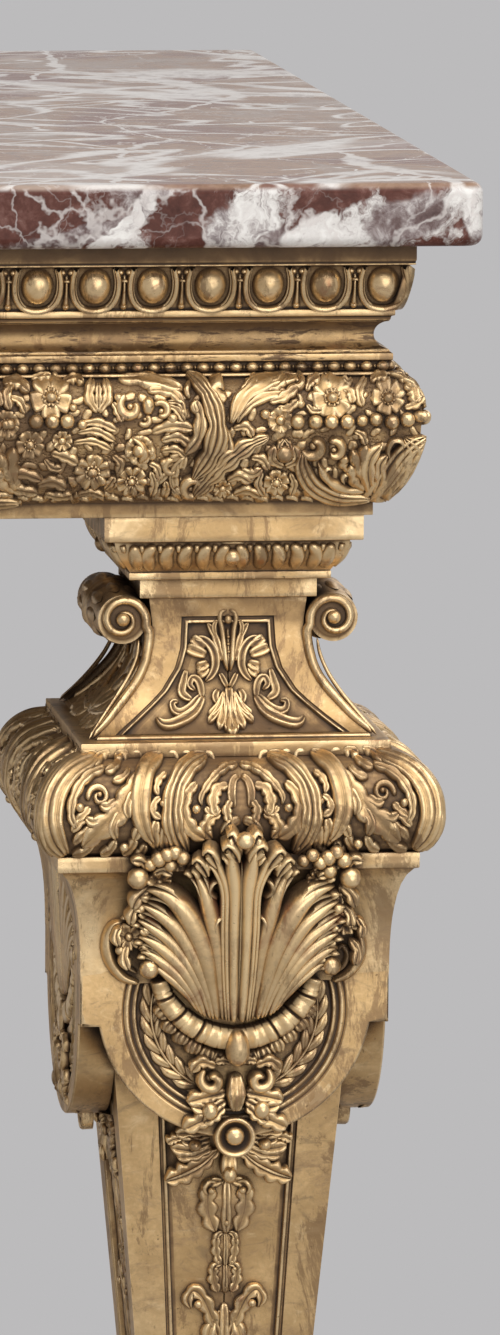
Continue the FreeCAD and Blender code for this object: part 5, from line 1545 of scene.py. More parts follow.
def garland():
    """Fruit, flowers and scrolls beside the shell; each side differs a little."""
    heights, reaches = [470, 528, 546, 556, 566], [76.5, 78.5, 83, 85, 86]
    surf = Relief(lambda x, z: np.interp(z, heights, reaches) + 0 * x)
    deep = Plane(-71.2)

    def at(*pts):
        return marks("palmette", *pts)

    out = []
    fruit = ((136, 874, 4.6, 3.2), (348, 873, 4.6, 3.2), (149, 968, 4.3, 3.0), (331, 965, 4.1, 3.0),
             (156, 855, 3.4, 4.0), (164, 850, 3.0, 5.0), (172, 848, 3.2, 4.6), (168, 861, 3.0, 3.6),
             (180, 853, 3.0, 5.2), (148, 861, 2.8, 3.0), (325, 853, 3.4, 4.4), (333, 847, 3.0, 4.6),
             (341, 856, 3.4, 3.6), (317, 858, 3.0, 4.4), (327, 866, 3.2, 3.4), (309, 850, 2.8, 5.2),
             (300, 856, 2.6, 5.0), (145, 930, 2.6, 3.4), (337, 905, 2.4, 3.2), (140, 905, 2.2, 2.6),
             (120, 950, 2.0, 1.8), (357, 950, 2.0, 1.8))
    for u, v, r, up in fruit:
        x, z = at((u, v))[0]
        out += tone(berry(surf, x, z, r * 1.12, 0.5 + up / r, 9, 13), 1, 0.2)
    flowers = ((158, 880, 5.0, 5, 6.0), (129, 937, 5.6, 5, 5.0), (346, 922, 5.4, 5, 5.4),
               (170, 856, 5.4, 5, 6.0), (324, 861, 5.6, 5, 6.0), (316, 878, 4.6, 5, 6.0),
               (340, 893, 3.8, 4, 4.6), (136, 897, 3.8, 4, 4.6))
    for u, v, r, count, up in flowers:
        x, z = at((u, v))[0]
        out += rosette(surf, x, z, r * 1.15, count, up, 0.4 + u * 0.1, 0.32)
    leaves = (((150, 884), (137, 893), (130, 906), 3.8), ((140, 900), (132, 909), (129, 922), 3.4),
              ((338, 882), (349, 890), (354, 904), 3.8), ((342, 903), (349, 912), (350, 928), 3.2),
              ((148, 868), (140, 858), (128, 856), 3.2), ((342, 866), (350, 856), (361, 857), 3.2),
              ((128, 944), (124, 956), (128, 970), 3.2), ((350, 938), (357, 950), (354, 966), 3.2),
              ((186, 866), (196, 856), (203, 862), 3.0), ((292, 866), (284, 856), (278, 862), 3.0),
              ((138, 950), (146, 945), (152, 952), 2.6), ((338, 950), (330, 946), (325, 952), 2.6),
              ((122, 925), (116, 934), (118, 946), 3.0), ((356, 915), (362, 926), (360, 938), 2.8),
              ((150, 872), (160, 866), (171, 870), 2.8), ((334, 876), (324, 870), (314, 872), 2.8))
    for *pts, w in leaves:
        out += blade(surf, at(*pts), [w * 0.4, w, w * 0.7], 5.6, 14, 9, 2, lift=(0.5, 1.0, 1.2),
                     lobes=2, notch=0.3)
    out += scroll(deep, at((142, 986), (124, 979), (112, 962), (109, 944), (114, 928), (126, 922)),
                  [1.6, 2.6, 3.2, 2.8, 1.8], 6.4, 0, 2.2)
    out += scroll(deep, at((334, 984), (350, 976), (361, 960), (363, 944), (357, 928)),
                  [1.6, 2.4, 3.0, 2.6, 1.6], 6.4, 0, 2.0)
    out += scroll(deep, at((140, 976), (128, 968), (122, 956), (128, 948), (136, 954)),
                  [0.9, 1.5, 1.5, 1.1], 5.0)
    out += scroll(deep, at((336, 976), (346, 968), (350, 956), (344, 948), (338, 954)),
                  [0.9, 1.5, 1.5, 1.1], 5.0)
    return out


# -------------------------------------------------------------- pendant
# rim and bowl of the pendant's cup: radius, y, how proud
CUP_STEPS = ((9.4, -66.0, .3), (9.6, -74.5, .6), (9.0, -76.4, .95), (8.0, -76.4, .95), (7.0, -74.8, .3),
             (5.4, -73.2, .2), (0.2, -72.8, .5))


def curled_leaves(surf, z, h):
    """Two leaves that roll outwards over two smaller ones and a stem."""
    w = h * 0.5
    out = []
    for s in (-1, 1):
        out += blade(surf, [(s * 2.0, z - h * 0.72), (s * w * 0.34, z - h * 0.42),
                            (s * w * 0.60, z - h * 0.14), (s * w * 0.86, z - h * 0.03),
                            (s * w * 1.02, z - h * 0.15), (s * w * 0.92, z - h * 0.30)],
                     [1.2, w * 0.20, w * 0.26, w * 0.24, w * 0.2, w * 0.12], 4.4, 50, 13, 2,
                     lift=(0.7, 1.0, 1.1, 1.1), rib_depth=0.25, lobes=5, notch=0.36, cup=0.2)
        out += berry(surf, s * w * 0.74, z - h * 0.22, w * 0.12, 2.6, 8, 11)
        out += blade(surf, [(s * 1.0, z - h * 0.3), (s * w * 0.4, z - h * 0.6), (s * w * 0.5, z - h)],
                     [1.0, w * 0.24, w * 0.2], 3.6, 26, 9, 2, lobes=3)
    return out + blade(surf, [(0, z - h * 0.2), (0, z - h * 0.6), (0, z - h)],
                       [w * 0.12, w * 0.2, w * 0.1], 4.0, 20, 9, 2, lobes=2, notch=0.25)


def pendant():
    """Knot of flowers, cup and ball, and a chain of husks down the shaft."""
    board = Relief(lambda x, z: 73.0 + 0.05 * (z - 440) + 0 * x)
    step = Relief(lambda x, z: taper(z, 30.0) + 0 * x)
    face = shaft_face(sunk=2.9)

    def at(*pts):
        return about("pendant", 231, *pts)

    # knot of flowers and leaves on the tongue of the board
    half = scroll(board, at(*spiral(207, 1080, 13, 3, 240, -150)), [1.5, 2.6, 2.8, 2.0],
                  6.4, 1, 2.0, 40, 11)
    half += berry(board, *at((205, 1110))[0], 3.9, 1.5, 9, 13, 1.15)
    for *pts, w, up in (((222, 1092), (204, 1096), (182, 1102), 4.0, 5.6),
                       ((222, 1100), (204, 1108), (186, 1106), 3.4, 6.2),
                       ((216, 1112), (198, 1120), (178, 1130), 4.2, 5.8),
                       ((220, 1106), (208, 1116), (198, 1122), 3.4, 7.2),
                       ((212, 1066), (196, 1062), (186, 1072), 3.0, 4.8),
                       ((226, 1062), (218, 1060), (210, 1062), 2.2, 4.8)):
        half += blade(board, at(*pts), [w * 0.6, w * 1.15, w * 0.9], up, 36, 13, 2, lift=(0.7, 1.0, 0.9),
                      rib_depth=0.22, lobes=3, notch=0.3, cup=0.2)
    # leaves below the tongue, in front of the panel
    for *pts, w, up in (((214, 1140), (196, 1140), (176, 1142), 3.6, 5.0),
                       ((212, 1146), (196, 1150), (182, 1148), 3.0, 6.0),
                       ((212, 1150), (192, 1158), (172, 1156), 3.6, 5.0),
                       ((214, 1156), (196, 1164), (178, 1166), 3.0, 5.2),
                       ((184, 1146), (174, 1148), (168, 1152), 2.6, 4.4)):
        half += blade(step, at(*pts), [w * 0.6, w * 1.1, w * 0.9], up, 32, 13, 2, lift=(0.8, 1.0, 0.9),
                      rib_depth=0.22, lobes=3, notch=0.3, cup=0.2)
    low = at((221, 1158), (204, 1173), (184, 1184), (166, 1190))
    half += blade(step, low, [2.0, 4.6, 6.0, 3.6], 5.0, 60, 17, 2, lift=(0.7, 1.0, 1.0, 1.1),
                  rib_depth=0.25, lobes=5, notch=0.34, cup=0.25)
    half += blade(step, low, [0.6, 1.0, 0.9, 0.4], 5.6, 26, 7)
    half += berry(step, *at((196, 1152))[0], 3.0, 2.4, 8, 12)
    out = tone(both(half), 0.9)
    out += blade(board, at((231, 1072), (231, 1092), (231, 1112)), [2.6, 4.6, 2.4], 8.4, 16, 11, 3)
    out += blade(step, at((231, 1156), (231, 1172), (231, 1190)), [2.2, 4.2, 2.6], 6.4, 14, 11, 3)
    out += berry(step, *at((231, 1182))[0], 3.4, 2.2, 8, 12, 1.2)
    # cup and ball
    x, z = at((231, 1138))[0]
    turn = np.linspace(0, TAU, 33)
    cup = np.stack([np.stack([x + r * np.cos(turn), y + 0 * turn, z + r * np.sin(turn)], -1)
                    for r, y, _ in CUP_STEPS])
    out += facing(cup, np.array([k for _, _, k in CUP_STEPS])[:, None])
    out += round_ball(x, -74.0, z + 0.4, 4.6, 4.0, 9, 14)
    # husks down the sunk panel, as the photograph shows them
    for top, low, half, height in ((1192, 1248, 12.0, 4.4), (1246, 1282, 6.0, 3.6),
                                   (1278, 1310, 7.4, 3.8)):
        ends = at((231, top), (231, low))
        out += husk(face, 0, ends[0][1], ends[1][1], half, height)
    # below the photograph: curled leaves and smaller husks to the foot
    z = at((231, 1304))[0][1]
    for kind, h in (("curl", 34), ("husk", 25), ("husk", 16), ("curl", 26), ("husk", 19), ("husk", 12)):
        if kind == "curl":
            out += curled_leaves(face, z, h)
            z -= h * 0.96
        else:
            out += husk(face, 0, z, z - h, h * 0.29, 3.4)
            z -= h * 0.92
    return on_four_faces(out, 0.55)


# -------------------------------------------------------- ankle and foot
ANKLE = [(20, Z_SHAFT), (28.5, Z_SHAFT), (29.4, 162), (32.0, 156.5), (33.0, 153.4), (34.6, 152.4),
         (36.0, 149.0), (36.0, 144.0), (34.6, 139.8), (33.0, 138.2), (40.0, Z_PLINTH),
         (40.0, 92.1), (20, Z_FOOT)]
PLINTH_STEPS = ((0, 0, .6), (5, 0, .6), (5.5, 1.2, .25), (6.6, 1.2, .3), (7.0, 0.2, .9),
                (8.0, 0.2, .9), (8.6, 2.2, .12), (12, 2.3, .4), (22.5, 2.3, .4))


def plinth_loop(inset, depth):
    """Rectangle round the plinth's panel, drawn in by inset and sunk by depth."""
    hx, hz = 39.4 - inset, max(22.4 - inset, 0.2)
    t = np.linspace(-1, 1, 9)
    x = np.concatenate([t * hx, np.full(7, hx), -t * hx, np.full(7, -hx)])
    z = np.concatenate([np.full(9, -hz), t[1:-1] * hz, np.full(9, hz), -t[1:-1] * hz])
    return np.stack([x, -40.15 + depth + 0 * x, 115.0 + z], -1)


def ankle():
    bed = Square(ANKLE[1:5], corner=3)
    face = []
    for i in range(5):
        x = 6.2 * (i + 0.5) - 0.4
        path = [(x, 154.0), (x * 0.97, 160), (x * 0.93, 166.5)]
        face += blade(bed, path, [2.2, 2.7, 1.5], 1.8, 9, 7, 2)
    loops = [plinth_loop(inset, depth) for inset, depth, _ in PLINTH_STEPS]
    panel = rings(loops, [k for _, _, k in PLINTH_STEPS])
    return four(edge_run(ANKLE, 0, 0, 0.6, 10, 0.1)) + four(both(face) + panel)


def turned(profile, n=64, gadroons=0, depth=0.0):
    """Turned piece: (radius, z) profile, with optional gadroons round it."""
    p, k = moulding(profile, 0.6, 1.6)
    t = np.linspace(0, TAU, n + 1)[None, :]
    groove = 1 - np.abs(np.sin(gadroons * t / 2)) ** 0.6 if gadroons else 0 * t
    r = p[:, 0][:, None] - depth * groove
    out = np.stack([r * np.cos(t), r * np.sin(t), 0 * r], -1)
    side = out + [0, 0, 1] * p[:, 1][:, None, None]
    return facing(side, np.clip(k[:, None] - 0.6 * groove, 0.05, 1), out + 1e-6)


def foot():
    collar = [(20, Z_FOOT), (34, Z_FOOT), (34, 83.0), (24, 82.8), (23.6, 74.6), (20, 74.0)]
    belly = [(20, 74.6), (24.0, 74.0)] + arc3((24.2, 73.8), (38.6, 57.5), (45.0, 41.0), 10)[1:]
    belly += arc3((45.0, 41.0), (41.2, 20.5), (31.4, 4.2), 12)[1:]
    sole = [(31.6, 4.6), (31.0, 3.0), (27.6, 0.3), (27, 0), (2, 0)]
    return turned(collar) + turned(belly, 96, 16, 2.2) + turned(sole)


LEG_PARTS = {"abacus": abacus, "capital": capital, "cushion": cushion, "shaft": shaft,
             "lappets": lappets, "palmette": palmette, "pendant": pendant, "ankle": ankle,
             "foot": foot}
SHARED_NODES = {"palmette": "palmettes", "pendant": "husk_drops"}
for part, carve in LEG_PARTS.items():
    mesh = patch_mesh(part, carve())
    mesh.materials.append(GOLD)
    for leg, place in LEGS.items():
        node = SHARED_NODES.get(part, part + "_" + leg)
        put_piece("carved_%s_%s" % (part, leg), mesh, [node], place)


# --------------------------------------------------------------- frieze
FRIEZE_EDGE = [(INNER, Z_FRIEZE), (74.3, Z_FRIEZE), (74.6, 779.9), (73.4, 779.1), (73.0, 777.5)]
FRIEZE_GROUND = [(72.5, 779.3), (75.6, 777.6), (78.6, 775.2), (81.2, 771.0), (82.5, 765.5),
                 (82.7, 760.0), (82.1, 755.0), (80.9, 749.0), (79.1, 743.0), (77.0, 737.0),
                 (74.7, 732.0), (71.9, 727.5), (68.3, 723.4), (65.3, 721.2)]
FRIEZE_FOOT = [(64.5, 723.0), (66.0, 721.6), (63.3, 721.1), (63.3, Z_FRAME), (INNER, Z_FRAME)]


def undergrowth(bed, start, end):
    """Small leaves that fill the ground between the flowers."""
    rng = np.random.default_rng(7)
    step = 7.6
    out = []
    for i, z in enumerate(np.arange(725.0, 775.0, step)):
        for x in np.arange(start + (i % 2) * step / 2, end, step):
            a = rng.uniform(0, TAU)
            length, bend, w = rng.uniform(3.0, 4.8), rng.uniform(-2.2, 2.2), rng.uniform(1.7, 2.9)
            px, pz = x + rng.uniform(-1.6, 1.6), z + rng.uniform(-1.6, 1.6)
            c, s = math.cos(a) * length, math.sin(a) * length
            path = [(px - c, pz - s), (px - s * bend / 5, pz + c * bend / 5), (px + c, pz + s)]
            path = [(u, float(np.clip(v, 723, 777))) for u, v in path]
            out += blade(bed, path, [w * 0.5, w, w * 0.7], rng.uniform(0.9, 1.7), 9, 7, 1,
                         lift=(0.5, 0.8, 1.1), tip="point", lobes=2, notch=0.25)
    return out


def frieze_leaves(bed, at, corner):
    """Flowers, berries and leafage; corner adds what turns to the next side."""
    (start, _), (end, _) = at((-4, 430), (427 if corner else 356, 430))
    out = undergrowth(bed, start, end)

    def flower(u, v, r, petals=5, height=3.2, turn=0.3, eye=0.3, ribs=0):
        place = at((u, v))[0]
        bloom = rosette(bed, *place, r, petals, height + 0.9, turn, eye, ribs)
        if r > 6:
            bloom += rosette(bed, *place, r * 0.42, 5, height * 1.12 + 0.9, turn + 0.6, eye)
        return bloom

    def leaf(points, half, height=3.0, ribs=2, n=20, m=9):
        return blade(bed, at(*points), [w * 1.2 for w in half], height, n, m, ribs,
                     lift=(0.6, 1.0, 1.15), rib_depth=0.36, lobes=3)

    def leaves(rows, shares=(0.4, 1, 0.7), height=3.0, ribs=2):
        """A leaf for each row of three or more marks and a half width."""
        return [q for *points, w in rows for q in leaf(points, [w * k for k in shares], height, ribs)]

    def curl(u, v, r, height, turns, start, hand=1):
        """A lobe rolled up on itself, through this many half turns."""
        x, z = at((u, v))[0]
        path = []
        for t in np.linspace(0, 1, 9):
            a, far = start + turns * math.pi * t, r * (1 - 0.62 * t)
            path.append((x + hand * far * math.cos(a), z + far * math.sin(a)))
        lobe = blade(bed, path, [r * 0.30, r * 0.46, r * 0.46, r * 0.30], height, 26,
                     lift=(0.8, 1.0, 1.1))
        return lobe + berry(bed, x, z, r * 0.34, 0.9, 8, 11)

    def fruit(u, v, r):
        return berry(bed, *at((u, v))[0], r, 0.95, 9, 13)

    # upper band
    out += flower(51, 398, 9.8, 5, 3.4, 0.9)
    out += flower(332, 398, 9.6, 6, 3.4, 0.2)
    out += curl(130, 407, 5.4, 3.8, 1.7, 1.9) + curl(161, 411, 4.2, 3.2, 1.6, 0.6, -1)
    x, z = at((148, 406))[0]
    out += ball(bed(np.array(x), np.array(z))[0], [(3.0, 0, 0), (0, 0, 4.4), (0, -3.4, 0)], 10, 14)
    out += curl(145, 419, 3.0, 3.0, 1.5, 3.4)
    out += flower(280, 420, 6.0, 6, 3.6, 0.1, 0.4) + flower(6, 424, 6.6, 6, 3.6, 0.4, 0.4)
    for u in (36, 52, 67, 297, 315, 331, 347):
        out += fruit(u, 421, 3.5)
    for u, v, r in ((172, 418, 2.6), (182, 412, 2.2), (265, 414, 2.4), (82, 424, 2.4), (26, 408, 2.2),
                    (73, 408, 2.0), (300, 404, 2.2), (362, 420, 2.8), (118, 398, 2.2)):
        out += fruit(u, v, r)
    out += leaves((((2, 384), (18, 384), (30, 394), 2.6), ((10, 398), (20, 402), (26, 414), 2.2),
                   ((30, 380), (42, 379), (52, 380), 1.4), ((62, 384), (74, 380), (84, 386), 1.8),
                   ((98, 413), (89, 398), (92, 381), 2.6), ((98, 413), (107, 398), (104, 381), 2.6),
                   ((98, 411), (98, 398), (98, 386), 2.0), ((116, 380), (145, 381), (184, 391), 3.0),
                   ((146, 391), (168, 392), (184, 404), 2.6), ((166, 402), (180, 404), (184, 420), 1.8),
                   ((112, 402), (118, 412), (122, 422), 2.2),
                   ((166, 406), (176, 410), (184, 422), 2.0), ((240, 392), (252, 384), (256, 377), 2.4),
                   ((262, 390), (276, 386), (286, 378), 2.6), ((268, 402), (282, 398), (298, 388), 2.6),
                   ((276, 408), (288, 408), (298, 400), 2.2), ((306, 392), (310, 384), (320, 379), 2.0),
                   ((306, 404), (312, 410), (322, 410), 1.8), ((342, 388), (350, 394), (352, 404), 2.6),
                   ((366, 378), (359, 392), (362, 408), 2.4), ((352, 380), (348, 384), (342, 380), 1.6)))
    out += leaf(((300, 378), (268, 383), (243, 398), (229, 424)), [1.2, 3.2, 3.6, 1.8], 3.6, 3, 26, 11)
    out += leaf(((290, 394), (262, 398), (242, 412), (236, 424)), [0.9, 2.2, 2.2, 1.2], 3.0, 2, 20, 9)
    out += curl(297, 381, 3.4, 3.8, 1.5, 3.6) + curl(296, 399, 3.0, 3.4, 1.5, 3.6)
    out += leaf(((226, 402), (214, 392), (220, 378)), [2.0, 4.2, 2.4], 3.4, 0)
    # flame leaf with its loop
    out += blade(bed, at((184, 376), (201, 388), (213, 408), (216, 432), (207, 456), (190, 478)),
                 [1.4, 4.4, 5.0, 6.0, 5.0, 2.2], 5.0, 60, 21, 4, lift=(0.7, 1.0, 1.25, 0.85),
                 rib_depth=0.26, lobes=4, notch=0.26)
    out += blade(bed, at((190, 380), (186, 392), (190, 400)), [0.8, 1.6, 1.0], 4.0, 16, 7)
    out += curl(197, 408, 3.0, 3.8, 1.5, 1.2)
    out += leaf(((194, 398), (200, 418), (196, 438), (182, 452)), [1.0, 3.0, 3.0, 1.4], 4.6, 2, 24, 9)
    out += leaf(((222, 424), (228, 444), (220, 462), (210, 474)), [1.0, 2.6, 2.8, 1.4], 4.0, 2, 24, 9)
    out += curl(190, 487, 5.0, 4.2, 1.7, 0.4) + curl(171, 466, 4.0, 3.6, 1.5, 1.2)
    # middle band
    out += flower(139, 449, 7.0, 7, 3.4, 0.3, 0.5)
    for k in range(4):
        out += blade(bed, at((131 + 3 * k, 436 + k), (142 + k, 446 + 2 * k), (139 + 2 * k, 462 - k)),
                     [0.8, 1.7, 0.9], 4.6, 18, 7, 0)
    out += flower(30, 444, 6.8, 5, 3.4, 0.8, 0.34) + flower(62, 440, 4.8, 5, 3.2, 0.3, 0.4)
    out += fruit(284, 452, 4.2)
    out += leaves((((284, 466), (272, 458), (274, 444), 2.6), ((284, 466), (296, 458), (293, 444), 2.6),
                   ((284, 438), (279, 444), (280, 448), 1.4), ((284, 438), (289, 444), (288, 448), 1.4),
                   ((78, 424), (98, 422), (118, 430), 2.2), ((76, 432), (96, 430), (116, 440), 2.2),
                   ((72, 442), (92, 440), (112, 448), 2.0), ((150, 432), (172, 425), (194, 428), 3.0),
                   ((160, 440), (178, 436), (192, 446), 2.6), ((160, 450), (176, 448), (186, 456), 2.0),
                   ((50, 452), (66, 456), (78, 462), 2.8), ((10, 452), (4, 462), (2, 470), 2.4),
                   ((44, 458), (52, 466), (62, 466), 2.0), ((232, 428), (246, 426), (252, 436), 2.4),
                   ((112, 454), (120, 462), (116, 472), 2.2), ((250, 456), (262, 458), (268, 468), 2.4),
                   ((240, 468), (252, 472), (262, 466), 2.4), ((226, 480), (238, 474), (250, 480), 2.6)))
    out += blade(bed, at((269, 434), (244, 446), (216, 468), (190, 494)), [1.8, 5.0, 5.2, 2.6], 4.6,
                 46, 15, 4, lift=(0.9, 1.1, 0.8), rib_depth=0.45, lobes=5, notch=0.34)
    out += acanthus(bed, at((186, 452), (172, 466), (170, 482), (182, 494)), [3.0, 5.2, 3.4], 4, 3.4)
    # lower band
    out += flower(92, 471, 8.6, 5, 3.6, 0.2, 0.3, 2) + flower(131, 480, 7.4, 5, 3.4, 0.9, 0.3, 2)
    out += flower(276, 481, 6.2, 5, 3.4, 0.5, 0.36) + flower(222, 487, 4.4, 5, 3.0, 0.4, 0.4)
    out += leaves((((2, 474), (22, 472), (42, 478), 2.6), ((2, 484), (20, 488), (38, 490), 2.6),
                   ((36, 484), (52, 480), (66, 486), 2.8), ((44, 492), (60, 494), (72, 491), 2.0),
                   ((76, 493), (90, 490), (104, 493), 1.8), ((104, 488), (110, 480), (114, 474), 2.0),
                   ((150, 470), (154, 482), (150, 493), 2.2), ((148, 462), (156, 466), (160, 478), 2.0),
                   ((200, 494), (210, 482), (206, 474), 2.2), ((232, 493), (246, 488), (260, 493), 2.2),
                   ((262, 470), (258, 482), (264, 492), 2.0), ((290, 472), (294, 482), (290, 492), 2.0),
                   ((160, 493), (166, 486), (164, 478), 1.8)))
    # broken leafy rim along the foot
    for k, u in enumerate(range(0, 372, 15)):
        points = ((u, 498 - k % 2), (u + 7, 495 + k % 3), (u + 14, 498))
        out += leaf(points, [0.5, 1.2, 0.5], 2.2, 0, 12, 7)
    # C-scrolls below the second flower
    out += blade(bed, at((372, 495), (338, 495), (313, 484), (302, 466), (302, 450)),
                 [1.4, 3.0, 4.0, 4.2, 2.6], 4.0, 44, 15, 3, lift=(0.9, 1.0, 1.0), rib_depth=0.4)
    out += curl(313, 445, 5.6, 4.4, 1.5, 3.5, 1) + curl(334, 449, 4.8, 4.2, 1.6, 0.9, -1)
    out += blade(bed, at((366, 490), (342, 486), (326, 476), (317, 460)), [1.2, 2.4, 2.6, 1.4], 4.4,
                 30, 9, 0, lobes=3, notch=0.3)
    out += curl(328, 472, 2.6, 3.2, 1.4, 0.5) + curl(346, 478, 2.6, 3.2, 1.4, 0.5)
    out += leaves((((366, 488), (354, 478), (350, 462), 2.8), ((368, 486), (358, 466), (352, 448), 3.0),
                   ((370, 484), (364, 462), (366, 442), 3.2), ((348, 470), (343, 462), (346, 454), 2.4)),
                  (0.5, 1, 0.8), 3.8, 0)
    if not corner:
        return out
    # acanthus, flower and ribbed clasp at the corner
    for *pts, w in (((374, 494), (368, 474), (370, 456), (382, 442), 4.2),
                   ((376, 492), (380, 476), (380, 462), (388, 452), 3.4)):
        out += blade(bed, at(*pts), [w * 0.5, w, w, w * 0.5], 4.6, 30, 11, 2, lobes=3, notch=0.25)
    out += flower(388, 398, 7.8, 5, 3.8, 0.6, 0.34)
    for u, v, r in ((376, 419, 3.2), (392, 421, 3.6), (407, 419, 3.6), (418, 416, 3.4)):
        out += fruit(u, v, r)
    out += leaves((((404, 384), (412, 392), (414, 404), 2.8), ((370, 382), (378, 378), (388, 380), 2.0),
                   ((398, 380), (408, 380), (416, 390), 2.2), ((404, 408), (414, 404), (420, 396), 2.2),
                   ((354, 430), (362, 434), (366, 444), 2.0)))
    for near in (((384, 497), (402, 488), (413, 466), (414, 448), (404, 436)),
                 ((400, 498), (418, 482), (427, 462), (427, 446), (418, 434))):
        out += blade(bed, at(*near), [1.6, 4.4, 5.8, 5.0, 2.8], 4.0, 34, 19, 3, lift=(0.7, 1.0, 1.1),
                     rib_depth=0.55)
    out += scroll(bed, at((392, 460), (388, 450), (393, 440), (402, 441), (401, 449)),
                  [1.0, 1.4, 1.4, 1.0], 4.4, 0, 1.4)
    return out


def frieze_side(name, hx, hy, turn):
    """One side: ground, edges, and the leafage as the photograph's corner and its repeats."""
    node = "frieze_" + name
    bed = Square(FRIEZE_GROUND, corner=8, one_corner=True)
    at = seat("frieze", bed)
    hero = move(frieze_leaves(bed, at, True), hx, -hy)
    left, right = at((0, 430))[0][0], at((352, 430))[0][0]
    room = 2 * (hx + left)
    cells = max(1, round(room / (right - left)))
    pitch = room / cells
    flat = Square(FRIEZE_GROUND, flat=True)
    flat_at = seat("frieze", flat)

    def middle(*points):
        """Marks measured from the middle of one cell, stretched to fill it."""
        return [((x - (left + right) / 2) * pitch / (right - left), z) for x, z in flat_at(*points)]

    body = frieze_leaves(flat, middle, False)
    spans = [flip_x(hero)]
    for i in range(cells):
        spans.append(move(body if i % 2 else flip_x(body), -room / 2 + pitch * (i + 0.5), -hy))
    spans.append(hero)
    for i in range(0, len(spans), 2):
        patches = [q for span in spans[i:i + 2] for q in span]
        solid("frieze_carving_%s_%d" % (name, i // 2 + 1), turn_z(patches, turn), GOLD, node)
    out = edge_run(FRIEZE_EDGE, hx, hy, 0.3, 60, 0.15)
    out += [(p, np.where(p[..., 2] > 721.4, k, 0.27)) for p, k in
            edge_run(FRIEZE_FOOT, hx, hy, 0.4, 60, 0.15)]
    solid("frieze_edges_" + name, turn_z(out, turn), GOLD, node)
    heights = [z for _, z in FRIEZE_GROUND]
    ground = sweep(FRIEZE_GROUND, hx, hy, 60,
                   np.interp(heights, [721, 727, 745, 760], [0.1, 0.32, 0.40, 0.20]))
    solid("frieze_ground_" + name, turn_z(ground, turn), GROUND, node)


for side in SIDES:
    frieze_side(*side)


# ----------------------------------------------------- pieces of the frame
# material by the first word of the node's name; the rest is plain gilding
NODE_LOOKS = {"rail": WOOD, "bearer": WOOD, "corner": WOOD, "screws": IRON,
              "leg": PEGWOOD, "stretcher": PEGWOOD, "marble": MARBLE}
for node, piece in frame["nodes"].items():
    piece.data.materials.clear()
    piece.data.materials.append(NODE_LOOKS.get(node.split("_")[0], PLAIN))


# ------------------------------------------------------ room and camera
BACKDROP = (0.503, 0.497, 0.503, 1)
WARM_WHITE = (1.0, 0.98, 0.95)


def light(name, energy, location, target, wide, high, color=WARM_WHITE):
    """A rectangular lamp that looks from its place to the target."""
    data = bpy.data.lights.new(name, "AREA")
    data.energy, data.color = energy, color
    data.shape, data.size, data.size_y = "RECTANGLE", wide, high
    lamp = bpy.data.objects.new(name, data)
    bpy.context.scene.collection.objects.link(lamp)
    lamp.location = location
    lamp.rotation_euler = (Vector(target) - Vector(location)).to_track_quat("-Z", "Y").to_euler()


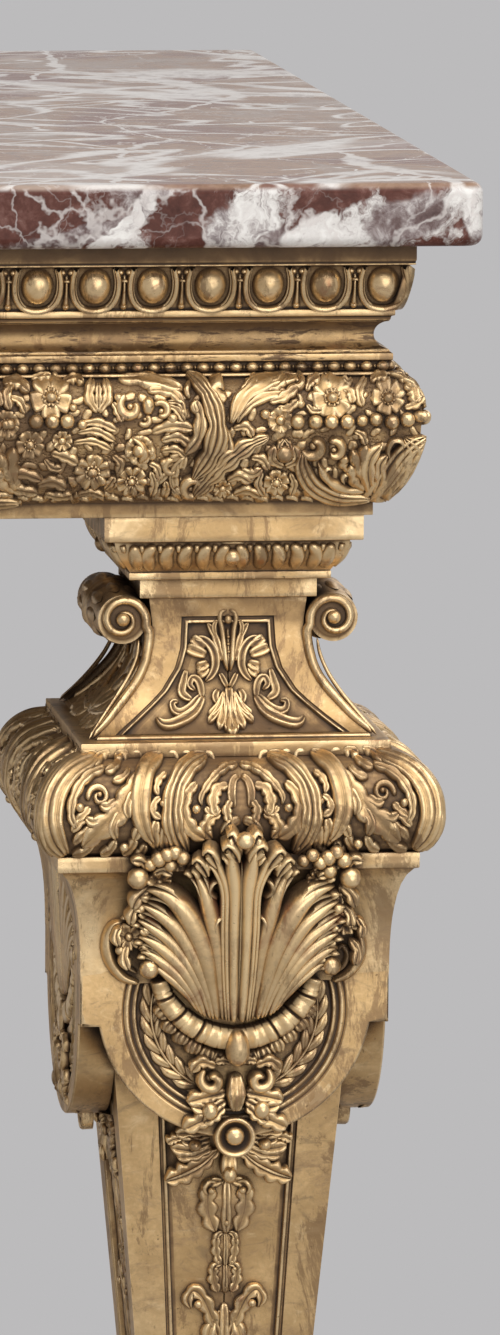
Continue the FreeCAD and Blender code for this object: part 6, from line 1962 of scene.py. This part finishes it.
def floor():
    """Pale floor; far from the table it is the even grey of the background.

    The lamps and the table see a plain matt floor, the camera and mirrors the blend."""
    mesh = bpy.data.meshes.new("floor")
    s = 30.0
    mesh.from_pydata([(-s, -s, 0), (s, -s, 0), (s, s, 0), (-s, s, 0)], [], [(0, 1, 2, 3)])
    ground = bpy.data.objects.new("floor", mesh)
    bpy.context.scene.collection.objects.link(ground)
    n = Nodes("studio_floor")
    n.set(Base_Color=(0.50, 0.495, 0.50, 1), Roughness=0.9, Specular_IOR_Level=0.0)
    near = n.bsdf.outputs[0]
    even = n.add("ShaderNodeEmission", {"Color": BACKDROP}).outputs[0]
    dark = n.add("ShaderNodeBsdfDiffuse", {"Color": (0.46, 0.44, 0.415, 1)}).outputs[0]
    blend = n.add("ShaderNodeMixShader", {0: n.step(n.length(n.coord), 0.85, 1.15), 1: near, 2: even})
    ray = n.add("ShaderNodeLightPath").outputs
    seen = n.most(ray["Is Camera Ray"], n.most(ray["Is Glossy Ray"], ray["Is Transmission Ray"]))
    whole = n.add("ShaderNodeMixShader", {0: seen, 1: dark, 2: blend.outputs[0]})
    n.put(n.tree.nodes["Material Output"], 0, whole.outputs[0])
    mesh.materials.append(n.material)


def world():
    """Dim light all round; the camera and mirrors see the plain backdrop."""
    room = bpy.data.worlds.new("studio")
    bpy.context.scene.world = room
    room.use_nodes = True
    nodes, links = room.node_tree.nodes, room.node_tree.links
    nodes["Background"].inputs["Color"].default_value = (0.31, 0.30, 0.29, 1)
    plain = nodes.new("ShaderNodeBackground")
    plain.inputs["Color"].default_value = BACKDROP
    path = nodes.new("ShaderNodeLightPath").outputs
    seen = path["Is Camera Ray"]
    for ray in ("Is Glossy Ray", "Is Transmission Ray"):
        either = nodes.new("ShaderNodeMath")
        either.operation = "MAXIMUM"
        links.new(seen, either.inputs[0])
        links.new(path[ray], either.inputs[1])
        seen = either.outputs[0]
    mix = nodes.new("ShaderNodeMixShader")
    for socket, source in enumerate((seen, nodes["Background"].outputs[0], plain.outputs[0])):
        links.new(source, mix.inputs[socket])
    links.new(mix.outputs[0], nodes["World Output"].inputs[0])


def camera():
    """The photograph's camera."""
    data = bpy.data.cameras.new("camera")
    data.sensor_width = 36
    data.lens = FOCAL * data.sensor_width / PHOTO_HIGH
    data.clip_end = 60
    cam = bpy.data.objects.new("camera", data)
    bpy.context.scene.collection.objects.link(cam)
    right, up, forward = sight_frame()
    rows = np.column_stack([right, up, -forward, EYE])
    cam.matrix_world = Matrix([*rows.tolist(), (0, 0, 0, 1)])
    bpy.context.scene.camera = cam


world()
floor()
camera()
light("top", 86, (0.9, -1.7, 3.2), (0.4, -0.1, 0.8), 4.0, 3.0)
light("front", 66, (1.8, -4.7, 1.05), (0.5, -0.3, 0.5), 4.2, 2.8)
light("rim", 14, (2.6, 3.0, 2.4), (0.3, 0.1, 0.7), 2.0, 2.0, (1.0, 0.98, 0.96))
bpy.context.scene.view_settings.view_transform = "Standard"
